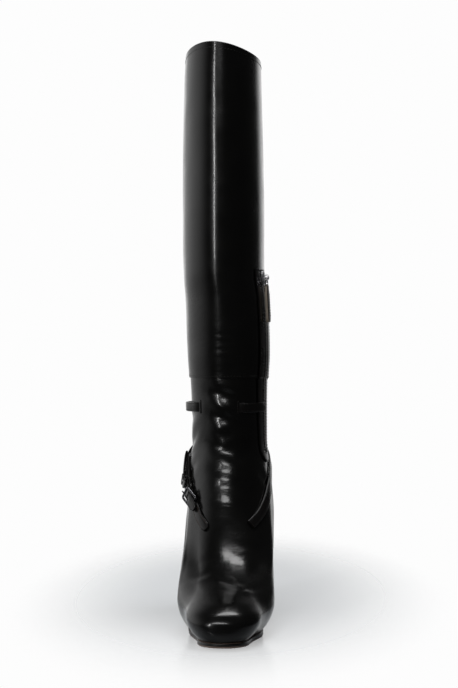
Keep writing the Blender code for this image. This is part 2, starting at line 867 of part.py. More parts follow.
def rounded_loop(centre, across, along, width, length, corner, steps=4):
    """Points round a rectangle with round corners, in the plane of two directions."""
    points = []
    for quarter, (sx, sy) in enumerate(((1, 1), (-1, 1), (-1, -1), (1, -1))):
        for k in range(steps + 1):
            angle = pi / 2.0 * (quarter + k / steps)
            x = sx * (width / 2.0 - corner) + corner * cos(angle)
            y = sy * (length / 2.0 - corner) + corner * sin(angle)
            points.append(centre + across * x + along * y)
    return points


def build_buckle(place):
    """The buckle's frame, with the strap under its upper bar and over its lower one."""
    route = harness_route()
    upper_point, along, across, upper_normal = route_frame(
        route, route_index(route, *BUCKLE_UPPER))
    lower_point, _, _, lower_normal = route_frame(
        route, route_index(route, *BUCKLE_LOWER))
    gap = BUCKLE_WIRE + CLEARANCE + BUCKLE_SLACK
    upper_bar = upper_point + upper_normal * (CLEARANCE + STRAP_THICKNESS + gap)
    lower_bar = lower_point + lower_normal * (CLEARANCE - gap)
    along = (lower_bar - upper_bar).normalized()
    normal = across.cross(along)
    if normal.dot(upper_normal) < 0.0:
        normal = -normal
    across = along.cross(normal).normalized()
    normal = across.cross(along).normalized()
    centre = (upper_bar + lower_bar) / 2.0
    loop = rounded_loop(centre, across, along, BUCKLE_WIDTH - 2.0 * BUCKLE_WIRE,
                        (lower_bar - upper_bar).length, BUCKLE_CORNER)
    wire("buckle_frame", loop, BUCKLE_WIRE, CHROME, place, cyclic=True)
    if normal.dot(upper_normal) < 0.0:
        normal = -normal
    rest = upper_bar + normal * (BUCKLE_WIRE + PRONG_WIRE + CLEARANCE)
    near = lower_point + lower_normal * (CLEARANCE * 2.0 + STRAP_THICKNESS + PRONG_WIRE
                                         + BUCKLE_SLACK)
    line = [rest - along * PRONG_OVERHANG, rest, mix(rest, near, 0.4), mix(rest, near, 0.75)]
    wire("buckle_prong", line, PRONG_WIRE, CHROME, place)


def build_ankle_strap(place):
    """The thin strap round the ankle and its tip in front of the zip."""
    share = (ANKLE_STRAP_HEIGHT - ANKLE_HEIGHT) / (TOP_HEIGHT - ANKLE_HEIGHT)
    heights = (0.0,) + tuple(column(SHAFT_ROWS, SHAFT_COLUMNS, "height"))
    levels = tuple(ANKLE_LEVEL + index for index in range(len(heights)))
    level = smooth(heights, levels, share)
    main = [(level, turn, lift) for turn, lift in ANKLE_STRAP_ROWS]
    tip = [(level, turn, lift) for turn, lift in ANKLE_TIP_ROWS]
    strap("ankle_strap", trace(main, ANKLE_STRAP_STEP), ANKLE_STRAP_WIDTH,
          STRAP_THICKNESS, STRAP_LEATHER, place)
    strap("ankle_strap_tip", trace(tip, ANKLE_TIP_STEP), ANKLE_STRAP_WIDTH,
          STRAP_THICKNESS, STRAP_LEATHER, place, tips=("end",))


def zip_y(z):
    """The zip's place along the boot at a height."""
    share = (z - ZIP_BOTTOM) / (ZIP_TOP - ZIP_BOTTOM)
    return mix(ZIP_BOTTOM_ALONG, ZIP_TOP_ALONG, share) * SHAFT_DEPTH


def build_zip(place):
    """The closed chain of the zip and the leather facing round it."""
    rows = []
    for k in range(9):
        z = mix(ZIP_BOTTOM, ZIP_TOP, k / 8.0)
        level, turn = locate(1, zip_y(z), z)
        rows.append((level, turn, ZIP_LIFT))
    strap("zip_chain", trace(rows, ZIP_STEP), CHAIN_WIDTH, CHAIN_THICKNESS, ZIP_METAL,
          place)
    reach = CHAIN_WIDTH / 2.0 + CLEARANCE * 2.0 + FACING_WIDTH / 2.0
    top = ZIP_TOP + SLIDER_LENGTH
    rows = []
    for k in range(9):
        z = mix(top, ZIP_BOTTOM, k / 8.0)
        rows.append(locate(1, zip_y(z) - reach, z))
    for k in range(1, 6):
        angle = pi * k / 6.0
        z = ZIP_BOTTOM - reach * sin(angle)
        rows.append(locate(1, zip_y(ZIP_BOTTOM) - reach * cos(angle), z))
    for k in range(9):
        z = mix(ZIP_BOTTOM, top, k / 8.0)
        rows.append(locate(1, zip_y(z) + reach, z))
    route = trace([(level, turn, ZIP_LIFT) for level, turn in rows], FACING_STEP)
    strap("zip_facing", route, FACING_WIDTH, FACING_THICKNESS, STRAP_LEATHER, place)


def slider_frame():
    """The slider's place on the chain: point, outward, down and forward directions."""
    z = ZIP_TOP + SLIDER_LENGTH * SLIDER_PLACE
    level, turn = locate(1, zip_y(z), z)
    point, normal, upward, _ = form_frame(level, turn)
    down = (-upward + normal * upward.dot(normal)).normalized()
    forward = down.cross(normal).normalized()
    height = LAP_STEP + ZIP_LIFT + CHAIN_THICKNESS + CLEARANCE * 2.0
    return point + normal * height, normal, down, forward


def pull_axis():
    """The point and direction about which the zip's pull swings."""
    point, normal, down, forward = slider_frame()
    height = SLIDER_THICKNESS + LINK_WIRE + LINK_RISE
    return point + normal * height, forward


def build_slider(place):
    """The slider's body with its bridge."""
    point, normal, down, forward = slider_frame()
    work = bmesh.new()
    bmesh.ops.create_cube(work, size=1.0)
    for corner in work.verts:
        share = 1.0 if corner.co.y < 0.0 else SLIDER_NOSE
        corner.co.x *= share * SLIDER_WIDTH
        corner.co.y *= SLIDER_LENGTH
        corner.co.z = (corner.co.z + 0.5) * SLIDER_THICKNESS
    bmesh.ops.bevel(work, geom=list(work.edges), offset=SLIDER_ROUNDING, segments=2,
                    affect="EDGES", clamp_overlap=True)
    mesh = bpy.data.meshes.new("zip_slider")
    work.to_mesh(mesh)
    work.free()
    mesh.materials.append(material(CHROME))
    mesh.shade_smooth()
    mesh.set_sharp_from_angle(angle=SHARP_ANGLE)
    body = bpy.data.objects.new("zip_slider", mesh)
    place.objects.link(body)
    turned = Matrix((forward, down, normal)).transposed().to_4x4()
    turned.translation = point
    body.matrix_world = turned
    axis, _ = pull_axis()
    reach = LINK_WIRE + CLEARANCE * 2.0 + BRIDGE_WIRE
    arch = []
    for k in range(7):
        angle = pi * k / 6.0
        arch.append(axis - down * cos(angle) * (reach + BRIDGE_SPREAD)
                    + normal * (sin(angle) * reach))
    sunk = normal * BRIDGE_SUNK
    arch = [arch[0] - sunk] + arch + [arch[-1] - sunk]
    bridge = wire("slider_bridge", arch, BRIDGE_WIRE, CHROME, place)
    join = body.modifiers.new("bridge", "BOOLEAN")
    join.operation = "UNION"
    join.object = bridge
    bridge.hide_render = True
    bridge.display_type = "WIRE"
    return body, bridge


def build_pull(place):
    """The link on the slider's bridge and the leather tab that it carries."""
    axis, forward = pull_axis()
    _, normal, down, _ = slider_frame()
    hang = Vector((PULL_SLANT, 0.0, -1.0)).normalized()
    hang = (hang - forward * hang.dot(forward)).normalized()
    centre = axis + hang * (LINK_LENGTH / 2.0)
    loop = rounded_loop(centre, forward, hang, LINK_WIDTH, LINK_LENGTH, LINK_CORNER,
                        steps=3)
    link = wire("pull_link", loop, LINK_WIRE, CHROME, place, cyclic=True)
    out = forward.cross(hang).normalized()
    if out.x < 0.0:
        out = -out
    top = axis + hang * (LINK_LENGTH + LINK_WIRE + CLEARANCE)
    points = []
    half_thick = PULL_THICKNESS / 2.0
    for down_share, width_share in TAB_ROWS:
        base = top + hang * PULL_LENGTH * down_share
        half = PULL_WIDTH / 2.0 * width_share
        for a, b in ((-half, -half_thick), (half, -half_thick),
                     (half, half_thick), (-half, half_thick)):
            points.append(base + forward * a + out * b)
    faces = loop_faces(len(TAB_ROWS), 4)
    last = len(points) - 4
    faces.append((0, 1, 2, 3))
    faces.append((last, last + 1, last + 2, last + 3))
    tab = add_mesh("pull_tab", points, faces, STRAP_LEATHER, place)
    face_outward(tab)
    return link, tab


def centre_on_origin(parts):
    """Hang the parts on an empty that puts the middle of their box over the origin."""
    bpy.context.view_layer.update()
    graph = bpy.context.evaluated_depsgraph_get()
    low = Vector((1.0, 1.0, 1.0))
    high = -low
    for thing in parts:
        shown = thing.evaluated_get(graph)
        for corner in shown.bound_box:
            place = shown.matrix_world @ Vector(corner)
            low = Vector(map(min, low, place))
            high = Vector(map(max, high, place))
    base = bpy.data.objects.new("boot_frame", None)
    bpy.context.scene.collection.objects.link(base)
    base.location = (-(low.x + high.x) / 2.0, -(low.y + high.y) / 2.0, 0.0)
    for thing in bpy.data.objects:
        if thing.type == "MESH":
            thing.parent = base
    return base


def main():
    clear_scene()
    boot = collection("knee_high_boot")
    tools = collection("cutters")
    build_upper(boot)
    build_outsole(boot)
    build_insole(boot)
    build_heel(boot)
    build_top_lift(boot)
    build_ankle_strap(boot)
    build_harness(boot)
    build_keeper(boot)
    build_billet(boot)
    build_buckle(boot)
    build_zip(boot)
    _, bridge = build_slider(boot)
    boot.objects.unlink(bridge)
    tools.objects.link(bridge)
    build_pull(boot)
    centre_on_origin(list(boot.objects))


main()
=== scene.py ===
# %% [markdown]
# # A tall boot in polished black calf
# The boot stands alone, a right one: its zip is on the inner side (+X), its buckle on
# the outer side (-X), and the toe points at the camera (-Y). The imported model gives
# the frame, and each finished piece below is built in that frame and takes the place
# of one plain solid.

# %% Load the frame
import functools
from math import acos, atan2, ceil, cos, pi, sin, tau

import bmesh
import bpy
import numpy as np
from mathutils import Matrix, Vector, noise


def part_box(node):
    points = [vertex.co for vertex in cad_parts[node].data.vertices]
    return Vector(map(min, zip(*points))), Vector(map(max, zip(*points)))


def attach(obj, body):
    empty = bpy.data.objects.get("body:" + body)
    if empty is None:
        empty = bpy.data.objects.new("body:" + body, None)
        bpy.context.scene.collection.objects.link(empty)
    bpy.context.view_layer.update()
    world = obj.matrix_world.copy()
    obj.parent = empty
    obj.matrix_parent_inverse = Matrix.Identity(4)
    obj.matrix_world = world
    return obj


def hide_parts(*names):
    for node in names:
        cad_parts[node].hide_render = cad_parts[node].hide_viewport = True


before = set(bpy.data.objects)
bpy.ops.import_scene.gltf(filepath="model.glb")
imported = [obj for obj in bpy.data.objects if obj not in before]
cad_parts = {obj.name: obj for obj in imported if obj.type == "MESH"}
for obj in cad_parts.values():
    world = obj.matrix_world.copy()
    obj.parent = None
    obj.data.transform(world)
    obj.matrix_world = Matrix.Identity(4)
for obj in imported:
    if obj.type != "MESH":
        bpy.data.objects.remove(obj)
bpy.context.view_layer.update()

MM = 0.001
print("nodes in the frame:", len(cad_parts))

# %% [markdown]
# ## The last
# A boot is pulled over a last, and its leather keeps that form. A loft between a few
# sections describes it well: each row below is one section, from the sole's edge up
# to the ankle and on to the collar. A smooth curve is read through every column, so
# any number of fine sections can be drawn in between. Sculpting would be an
# alternative, but tables keep the girths exact.

# %% Sizes in metres
FOOT_LENGTH = 0.252
BALL_WIDTH = 0.086
HEEL_CUP_WIDTH = 0.062
SEAT_HEIGHT = 0.082
ANKLE_HEIGHT = 0.166
ANKLE_WIDTH = 0.070
ANKLE_DEPTH = 0.092
ANKLE_AHEAD = 0.533
TOP_HEIGHT = 0.529
FRONT_CROWN = 0.010
CROWN_TURN = 0.070
CROWN_POWER = 3
CROWN_BELOW = 0.6
SHAFT_WIDTH = 0.0775
SHAFT_DEPTH = 0.137
WALL = 0.0022
LAP_STEP = 0.0012
OUTSOLE_THICKNESS = 0.004
SOLE_EDGE = 0.0016
HEEL_LENGTH = 0.052
HEEL_WIDTH = 0.056
HEEL_TAPER = 0.88
HEEL_PITCH = 0.004
HEEL_INSET = 0.0010
HEEL_GAP = 0.0008
TOP_LIFT_THICKNESS = 0.006
CLEARANCE = 0.0003
FOOT_LEAN = 0.0010
TOE_SWING = -0.0004

# %% Sections of the foot, the shaft and the sole line
FOOT_COLUMNS = ("front", "rise", "back", "lift", "heel", "waist", "ball", "toe",
                "round_back", "round_front", "square", "bow", "ankle", "lean")
FOOT_ROWS = (
    (0.762, 0.048, 0.200, 0.00, 0.435, 0.260, 0.372, 0.252, 0.125, 0.178, 2.5, 1.00, 0.00, 0.000),
    (0.771, 0.084, 0.214, 0.09, 0.484, 0.350, 0.435, 0.330, 0.130, 0.175, 2.5, 1.00, 0.00, 0.000),
    (0.769, 0.127, 0.219, 0.19, 0.500, 0.405, 0.483, 0.375, 0.135, 0.175, 2.5, 0.99, 0.00, 0.000),
    (0.754, 0.169, 0.219, 0.29, 0.500, 0.440, 0.506, 0.390, 0.140, 0.190, 2.3, 0.94, 0.00, 0.000),
    (0.717, 0.208, 0.214, 0.38, 0.500, 0.462, 0.500, 0.380, 0.150, 0.280, 2.1, 0.80, 0.00, 0.002),
    (0.646, 0.244, 0.206, 0.47, 0.500, 0.476, 0.488, 0.365, 0.170, 0.370, 2.0, 0.59, 0.02, 0.006),
    (0.546, 0.290, 0.198, 0.56, 0.500, 0.486, 0.480, 0.362, 0.190, 0.380, 2.0, 0.42, 0.05, 0.012),
    (0.442, 0.368, 0.189, 0.66, 0.506, 0.486, 0.473, 0.378, 0.230, 0.340, 2.0, 0.36, 0.12, 0.017),
    (0.350, 0.494, 0.182, 0.76, 0.520, 0.480, 0.468, 0.400, 0.290, 0.350, 2.0, 0.30, 0.22, 0.018),
    (0.279, 0.657, 0.176, 0.86, 0.535, 0.470, 0.458, 0.410, 0.360, 0.400, 2.0, 0.22, 0.40, 0.012),
    (0.229, 0.838, 0.173, 0.94, 0.550, 0.458, 0.452, 0.430, 0.430, 0.460, 2.0, 0.12, 0.70, 0.004),
)
SHAFT_COLUMNS = ("height", "front", "back", "width", "lean")
SHAFT_ROWS = (
    (0.100, 0.361, 0.343, 0.458, 0.004),
    (0.165, 0.372, 0.380, 0.471, 0.008),
    (0.230, 0.387, 0.416, 0.491, 0.010),
    (0.300, 0.401, 0.453, 0.497, 0.018),
    (0.370, 0.416, 0.482, 0.493, 0.032),
    (0.440, 0.427, 0.504, 0.488, 0.062),
    (0.520, 0.438, 0.526, 0.492, 0.068),
    (0.620, 0.449, 0.547, 0.495, 0.070),
    (0.730, 0.453, 0.551, 0.489, 0.073),
    (0.840, 0.449, 0.540, 0.478, 0.076),
    (0.935, 0.442, 0.518, 0.465, 0.075),
    (1.000, 0.438, 0.504, 0.455, 0.071),
)
SEAM_ROW = 2
SOLE_ROWS = ((0.00, 1.000), (0.10, 0.985), (0.20, 0.930), (0.30, 0.800), (0.40, 0.605),
             (0.50, 0.370), (0.58, 0.185), (0.66, 0.055), (0.72, 0.000), (0.84, 0.000),
             (1.00, 0.032))
WIDTH_PLACES = {
    +1: (0.00, 0.18, 0.42, 0.70, 0.88, 1.00),
    -1: (0.00, 0.18, 0.44, 0.66, 0.86, 1.00),
}
print("sections:", len(FOOT_ROWS) + 1 + len(SHAFT_ROWS))


# %% A smooth curve through a column
def mix(a, b, share):
    """The value a share of the way from a to b."""
    return a + (b - a) * share


def clamp(value, low=0.0, high=1.0):
    """The value, kept between two bounds."""
    return min(max(value, low), high)


def bisect(low, high, steps, above):
    """The place between low and high from which on a test holds."""
    for _ in range(steps):
        middle = (low + high) / 2.0
        if above(middle):
            high = middle
        else:
            low = middle
    return (low + high) / 2.0


@functools.lru_cache(maxsize=None)
def slopes(places, values):
    """Slopes of a cubic through the values that never overshoots them."""
    steps = [b - a for a, b in zip(places, places[1:])]
    rates = [(b - a) / step for a, b, step in zip(values, values[1:], steps)]
    found = [rates[0]]
    for before, after in zip(rates, rates[1:]):
        if before * after <= 0.0:
            found.append(0.0)
        else:
            found.append(2.0 * before * after / (before + after))
    found.append(rates[-1])
    return found


def smooth(places, values, at):
    """Read a smooth curve through the values at one place."""
    tangents = slopes(places, values)
    at = clamp(at, places[0], places[-1])
    index = 0
    while index < len(places) - 2 and at > places[index + 1]:
        index += 1
    step = places[index + 1] - places[index]
    t = (at - places[index]) / step
    start = (1.0 + 2.0 * t) * (1.0 - t) ** 2 * values[index]
    end = t * t * (3.0 - 2.0 * t) * values[index + 1]
    leave = t * (1.0 - t) ** 2 * tangents[index] * step
    arrive = t * t * (t - 1.0) * tangents[index + 1] * step
    return start + end + leave + arrive


SOLE_PLACES, SOLE_SHARES = (tuple(column) for column in zip(*SOLE_ROWS))


def last_height(along):
    """Height of the last's underside, from heel (0) to toe (1)."""
    share = smooth(SOLE_PLACES, SOLE_SHARES, along)
    return OUTSOLE_THICKNESS + CLEARANCE + share * (SEAT_HEIGHT - OUTSOLE_THICKNESS)


print("tread at", round(last_height(0.8) / MM, 1), "mm, seat at", round(last_height(0.0) / MM, 1))


# %% The tables turned into lengths
def foot_section(row):
    """One section of the foot."""
    share = dict(zip(FOOT_COLUMNS, row))
    ankle = share["ankle"]
    section = {name: share[name] for name in ("round_back", "round_front", "square", "bow")}
    section["front_y"] = -share["front"] * FOOT_LENGTH
    section["front_z"] = share["rise"] * ANKLE_HEIGHT
    section["back_y"] = share["back"] * FOOT_LENGTH
    section["back_z"] = mix(SEAT_HEIGHT, ANKLE_HEIGHT, share["lift"])
    section["heel"] = mix(share["heel"] * HEEL_CUP_WIDTH, ANKLE_WIDTH / 2.0, ankle)
    for name in ("waist", "ball", "toe"):
        section[name] = mix(share[name] * BALL_WIDTH, ANKLE_WIDTH / 2.0, ankle)
    section["middle"] = FOOT_LEAN * (1.0 - ankle) + share["lean"] * BALL_WIDTH
    section["swing"] = TOE_SWING * (1.0 - ankle)
    section["crown"] = 0.0
    return section


def oval_section(front, back, height, half_width, middle):
    """A level, oval section of the ankle or the shaft."""
    return {
        "front_y": front, "front_z": height, "back_y": back, "back_z": height,
        "heel": half_width, "waist": half_width, "ball": half_width, "toe": half_width,
        "round_back": 0.5, "round_front": 0.5, "square": 2.0, "bow": 0.0,
        "middle": middle, "swing": 0.0, "crown": 0.0,
    }


def all_sections():
    """Every section from the sole's edge to the collar."""
    sections = [foot_section(row) for row in FOOT_ROWS]
    sections[0]["front_z"] = last_height(1.0)
    sections[0]["back_z"] = last_height(0.0)
    front = -ANKLE_AHEAD * ANKLE_DEPTH
    sections.append(oval_section(front, front + ANKLE_DEPTH, ANKLE_HEIGHT, ANKLE_WIDTH / 2.0, 0.0))
    for row in SHAFT_ROWS:
        share = dict(zip(SHAFT_COLUMNS, row))
        height = mix(ANKLE_HEIGHT, TOP_HEIGHT, share["height"])
        sections.append(oval_section(-share["front"] * SHAFT_DEPTH, share["back"] * SHAFT_DEPTH,
                                     height, share["width"] * SHAFT_WIDTH,
                                     -share["lean"] * SHAFT_WIDTH))
    sections[-1]["crown"] = FRONT_CROWN
    sections[-2]["crown"] = FRONT_CROWN * CROWN_BELOW
    return sections


SECTIONS = all_sections()
LEVELS = tuple(float(index) for index in range(len(SECTIONS)))
VALUES = {name: tuple(section[name] for section in SECTIONS) for name in SECTIONS[0]}
TOP_LEVEL = LEVELS[-1]
ANKLE_LEVEL = float(len(FOOT_ROWS))
SEAM_LEVEL = ANKLE_LEVEL + SEAM_ROW
print("collar at level", TOP_LEVEL, "ankle at level", ANKLE_LEVEL)


# %% A point on the last
@functools.lru_cache(maxsize=None)
def section_at(level):
    """All sizes of the section at one level."""
    return {name: smooth(LEVELS, values, level) for name, values in VALUES.items()}


def round_end(distance, length, exponent):
    """How far a round end has opened at a distance from its tip."""
    if distance >= length:
        return 1.0
    gone = max(1.0 - distance / length, 0.0)
    return max(1.0 - gone ** exponent, 0.0) ** (1.0 / exponent)


def section_height(section, along):
    """Height of a section's line at a place from its back (0) to its front (1)."""
    straight = mix(section["back_z"], section["front_z"], along)
    chord = mix(last_height(0.0), last_height(1.0), along)
    return straight + section["bow"] * (last_height(along) - chord)


def along_at(section, y):
    """The share of the way from a section's back to its front at one y."""
    return clamp((y - section["back_y"]) / (section["front_y"] - section["back_y"]))


def form_point(level, turn):
    """A point of the last. turn runs from the front (0) over the inner side (0.25)."""
    section = section_at(level)
    angle = tau * turn
    along = (1.0 + cos(angle)) / 2.0
    side = 1 if sin(angle) >= 0.0 else -1
    widths = (section["heel"], section["heel"], section["waist"], section["ball"],
              section["toe"], section["toe"])
    half = smooth(WIDTH_PLACES[side], widths, along)
    half *= round_end(along, section["round_back"], 2.0)
    half *= round_end(1.0 - along, section["round_front"], section["square"])
    x = section["middle"] + section["swing"] * along + side * half
    y = mix(section["back_y"], section["front_y"], along)
    peak = (1.0 + cos(angle + tau * CROWN_TURN)) / 2.0
    crown = section["crown"] * peak ** CROWN_POWER
    return Vector((x, y, section_height(section, along) + crown))


def form_frame(level, turn):
    """A point of the last with its outward normal and its two directions."""
    small = 0.01
    spread = 0.002
    low = max(level - small, 0.0)
    high = min(level + small, TOP_LEVEL)
    upward = (form_point(high, turn) - form_point(low, turn)) / (high - low)
    onward = (form_point(level, turn + spread) - form_point(level, turn - spread)) / (2.0 * spread)
    return form_point(level, turn), onward.cross(upward).normalized(), upward, onward


def skin(level, turn, out=0.0):
    """A point of the leather's outside, or one that stands off it by a distance."""
    point, normal, _, _ = form_frame(level, turn)
    if level > SEAM_LEVEL:
        out += LAP_STEP
    return point + normal * out


# %% Where the last stands in the frame
def stand_offset():
    """From the last's own origin, on the ankle's axis, to the frame's origin."""
    rings = [skin(level / 2.0, k / 96.0) for level in range(1, 2 * int(TOP_LEVEL) + 1)
             for k in range(96)]
    low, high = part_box("upper")
    x = (low.x + high.x - min(p.x for p in rings) - max(p.x for p in rings)) / 2.0
    return Vector((x, high.y - max(p.y for p in rings), 0.0))


BASE = stand_offset()
print("ankle's axis at", [round(value / MM, 2) for value in BASE], "mm")

# %% [markdown]
# ## Helpers for materials
# Each finish starts from the real material: its refractive index, how rough its
# surface is and what pattern it carries. Colours are given as the hex values that a
# colour picker shows, so one function turns them to the linear numbers that a shader
# works with. Patterns read object coordinates, in metres, so one pattern scale in
# cycles per metre is simply one over its real size.


# %% Colour and node helpers
def tint(code):
    """An sRGB hex colour as linear red, green, blue and alpha."""
    channels = [int(code[i:i + 2], 16) / 255.0 for i in (1, 3, 5)]
    linear = [c / 12.92 if c <= 0.04045 else ((c + 0.055) / 1.055) ** 2.4 for c in channels]
    return (*linear, 1.0)


def per_metre(size):
    """The pattern scale that repeats once in a size given in millimetres."""
    return 1.0 / (size * MM)


def add_node(material, kind, values=None, links=None):
    """Add a node, set its values and settings, and link its inputs."""
    node = material.node_tree.nodes.new(kind)
    for key, value in (values or {}).items():
        if isinstance(key, int) or key in node.inputs:
            node.inputs[key].default_value = value
        else:
            setattr(node, key, value)
    for key, source in (links or {}).items():
        material.node_tree.links.new(source, node.inputs[key])
    return node


def new_material(name, **sockets):
    """A material with its shader and object coordinates, and constant values set."""
    made = bpy.data.materials.new(name)
    made.use_nodes = True
    shader = made.node_tree.nodes["Principled BSDF"]
    for key, value in sockets.items():
        shader.inputs[key.replace("_", " ")].default_value = value
    place = add_node(made, "ShaderNodeTexCoord").outputs["Object"]
    return made, shader, place


def feed(material, node, **sources):
    """Link outputs to the inputs of a shader by their names."""
    for key, source in sources.items():
        material.node_tree.links.new(source, node.inputs[key.replace("_", " ")])


# %% [markdown]
# ## Polished calf
# Calf for tall boots is full-grain leather with a glazed finish. Its pores are only
# a few tenths of a millimetre, so at arm's length it reads as a dark mirror that is
# slightly broken up: strip lights become narrow lines with soft, wavering edges. The
# finish is a fairly smooth base under a thin clear coat, with fine grain as bump and
# faint creases that run across the leg. Leather's index is near 1.5.

# %% Calf leather for the upper and the straps
PORE = 0.9          # mm, drawn three times as coarse as real pores so that it shows
BREAK = 3.2         # mm between the fine creases of worn-in calf
CLOUD = 26.0        # mm, patches of slightly different polish
CREASED = (0.26, 0.36)   # heights: creased below the first, nearly smooth above the second
SMOOTH_SHARE = 0.25      # what is left of the creases there


def calf(name, dark, light, roughness, pore, crease):
    """Glazed calf: pores, fine creases and patches of polish."""
    made, shader, place = new_material(name, IOR=1.5, Specular_IOR_Level=0.36,
                                       Coat_Weight=0.30, Coat_Roughness=0.10)
    clouds = add_node(made, "ShaderNodeTexNoise",
                      {"Scale": per_metre(CLOUD), "Detail": 3.0}, {"Vector": place})
    colour = add_node(made, "ShaderNodeMixRGB", {"Color1": tint(dark), "Color2": tint(light)},
                      {"Fac": clouds.outputs["Fac"]})
    polish = add_node(made, "ShaderNodeMapRange",
                      {"From Min": 0.3, "From Max": 0.7, "To Min": roughness * 0.8,
                       "To Max": roughness * 1.25}, {"Value": clouds.outputs["Fac"]})
    pores = add_node(made, "ShaderNodeTexVoronoi",
                     {"Scale": per_metre(pore), "feature": "SMOOTH_F1"}, {"Vector": place})
    flat = add_node(made, "ShaderNodeMapping", {"Scale": (1.0, 1.0, 2.6)}, {"Vector": place})
    creases = add_node(made, "ShaderNodeTexNoise",
                       {"Scale": per_metre(BREAK * 3.0), "Detail": 5.0, "Distortion": 0.6},
                       {"Vector": flat.outputs["Vector"]})
    fine = add_node(made, "ShaderNodeBump", {"Strength": 0.10, "Distance": 0.0003},
                    {"Height": pores.outputs["Distance"]})
    height = add_node(made, "ShaderNodeSeparateXYZ", None, {0: place}).outputs["Z"]
    worn = add_node(made, "ShaderNodeMapRange",
                    {"From Min": CREASED[0], "From Max": CREASED[1], "To Min": crease,
                     "To Max": crease * SMOOTH_SHARE}, {"Value": height})
    broad = add_node(made, "ShaderNodeBump", {"Distance": 0.0012},
                     {"Strength": worn.outputs["Result"], "Height": creases.outputs["Fac"],
                      "Normal": fine.outputs["Normal"]})
    feed(made, shader, Base_Color=colour.outputs["Color"], Roughness=polish.outputs["Result"],
         Normal=broad.outputs["Normal"])
    return made


polished_calf = calf("polished black calf", "#0a0a0a", "#131312", 0.22, PORE, 0.16)
strap_calf = calf("black strap calf", "#0d0c0c", "#171514", 0.30, PORE * 1.3, 0.10)
print("calf pores at", PORE, "mm, creases at", BREAK, "mm")

# %% [markdown]
# ## Lining, sole, heel and rubber
# The lining is unglazed tan kid, matt and evenly pored. The sole is vegetable-tanned
# bend leather: its cut edge shows as a thin brownish line under the black upper. The
# heel is built of leather lifts, inked black, and stands on a rubber top lift.


# %% Matt leathers and rubber
def plain_hide(name, dark, light, roughness, cloud, grain):
    """An unglazed leather or rubber: soft patches of colour and a fine grain."""
    made, shader, place = new_material(name, IOR=1.5)
    patches = add_node(made, "ShaderNodeTexNoise",
                       {"Scale": per_metre(cloud), "Detail": 6.0}, {"Vector": place})
    colour = add_node(made, "ShaderNodeMixRGB", {"Color1": tint(dark), "Color2": tint(light)},
                      {"Fac": patches.outputs["Fac"]})
    grains = add_node(made, "ShaderNodeTexNoise",
                      {"Scale": per_metre(grain), "Detail": 4.0}, {"Vector": place})
    rough = add_node(made, "ShaderNodeMapRange",
                     {"To Min": roughness - 0.08, "To Max": roughness + 0.08},
                     {"Value": grains.outputs["Fac"]})
    relief = add_node(made, "ShaderNodeBump", {"Strength": 0.25, "Distance": 0.0004},
                      {"Height": grains.outputs["Fac"]})
    feed(made, shader, Base_Color=colour.outputs["Color"], Roughness=rough.outputs["Result"],
         Normal=relief.outputs["Normal"])
    return made


kid_lining = plain_hide("tan kid lining", "#a9855f", "#b99672", 0.60, 18.0, 0.8)
bend_leather = plain_hide("veg-tanned bend leather", "#7a685f", "#9c877b", 0.45, 9.0, 0.6)
tab_edge = plain_hide("pale cut edge", "#6f6458", "#948879", 0.50, 3.0, 0.5)
inked_lifts = plain_hide("black inked heel leather", "#0b0a0a", "#151312", 0.34, 12.0, 1.2)
lift_rubber = plain_hide("black rubber", "#111111", "#1b1b1b", 0.72, 8.0, 0.7)


# %% [markdown]
# ## Metal, thread and tape
# The slider and link are chrome-plated zinc: nearly a mirror on the link, a little
# satin on the slider, with only hairline handling marks. The buckle is polished black
# nickel, and the zip's teeth are nickel, darker and softer. The thread is waxed and
# twisted, and the zip's tape is a tight black weave.


# %% Plated metals
def plated(name, code, roughness, mark):
    """A plated metal with faint handling marks."""
    made, shader, place = new_material(name, Metallic=1.0, Base_Color=tint(code))
    marks = add_node(made, "ShaderNodeTexNoise",
                     {"Scale": per_metre(mark), "Detail": 8.0}, {"Vector": place})
    worn = add_node(made, "ShaderNodeMapRange",
                    {"From Min": 0.4, "From Max": 0.75, "To Min": roughness,
                     "To Max": roughness * 2.2}, {"Value": marks.outputs["Fac"]})
    feed(made, shader, Roughness=worn.outputs["Result"])
    return made


chrome = plated("chrome plate", "#d9d9dc", 0.07, 1.5)
satin_chrome = plated("satin chrome plate", "#e2e2e4", 0.24, 1.5)
nickel = plated("dark nickel", "#8d8b89", 0.24, 1.0)
buckle_nickel = plated("polished black nickel", "#77777b", 0.12, 1.5)


# %% Thread and zip tape
def twisted(name, code, roughness, twist):
    """A thread or tape: fine slanting ribs."""
    made, shader, place = new_material(name, IOR=1.5, Base_Color=tint(code), Roughness=roughness)
    ribs = add_node(made, "ShaderNodeTexWave",
                    {"Scale": per_metre(twist) / 10.0, "bands_direction": "DIAGONAL"},
                    {"Vector": place})
    relief = add_node(made, "ShaderNodeBump", {"Strength": 0.5, "Distance": 0.0002},
                      {"Height": ribs.outputs["Fac"]})
    feed(made, shader, Normal=relief.outputs["Normal"])
    return made


black_thread = twisted("waxed black thread", "#1a1918", 0.42, 0.6)
brown_thread = twisted("brown thread", "#4a362c", 0.50, 0.6)
zip_tape = twisted("woven zip tape", "#0f0f10", 0.80, 0.5)
print("materials:", len(bpy.data.materials))

# %% [markdown]
# ## Helpers for meshes
# Most pieces here are loops of points joined by quads: a ring round the leg, a
# strap's section, a wire's circle. One function turns loops into a closed mesh, and
# another hands the finished piece to its body.


# %% Closed meshes from loops
def loop_faces(loops, count, wrap=False):
    """Quads between neighbouring loops, and from the last to the first if they wrap."""
    faces = []
    for row in range(loops if wrap else loops - 1):
        here = row * count
        there = (row + 1) % loops * count
        for k in range(count):
            onward = (k + 1) % count
            faces.append((here + k, here + onward, there + onward, there + k))
    return faces


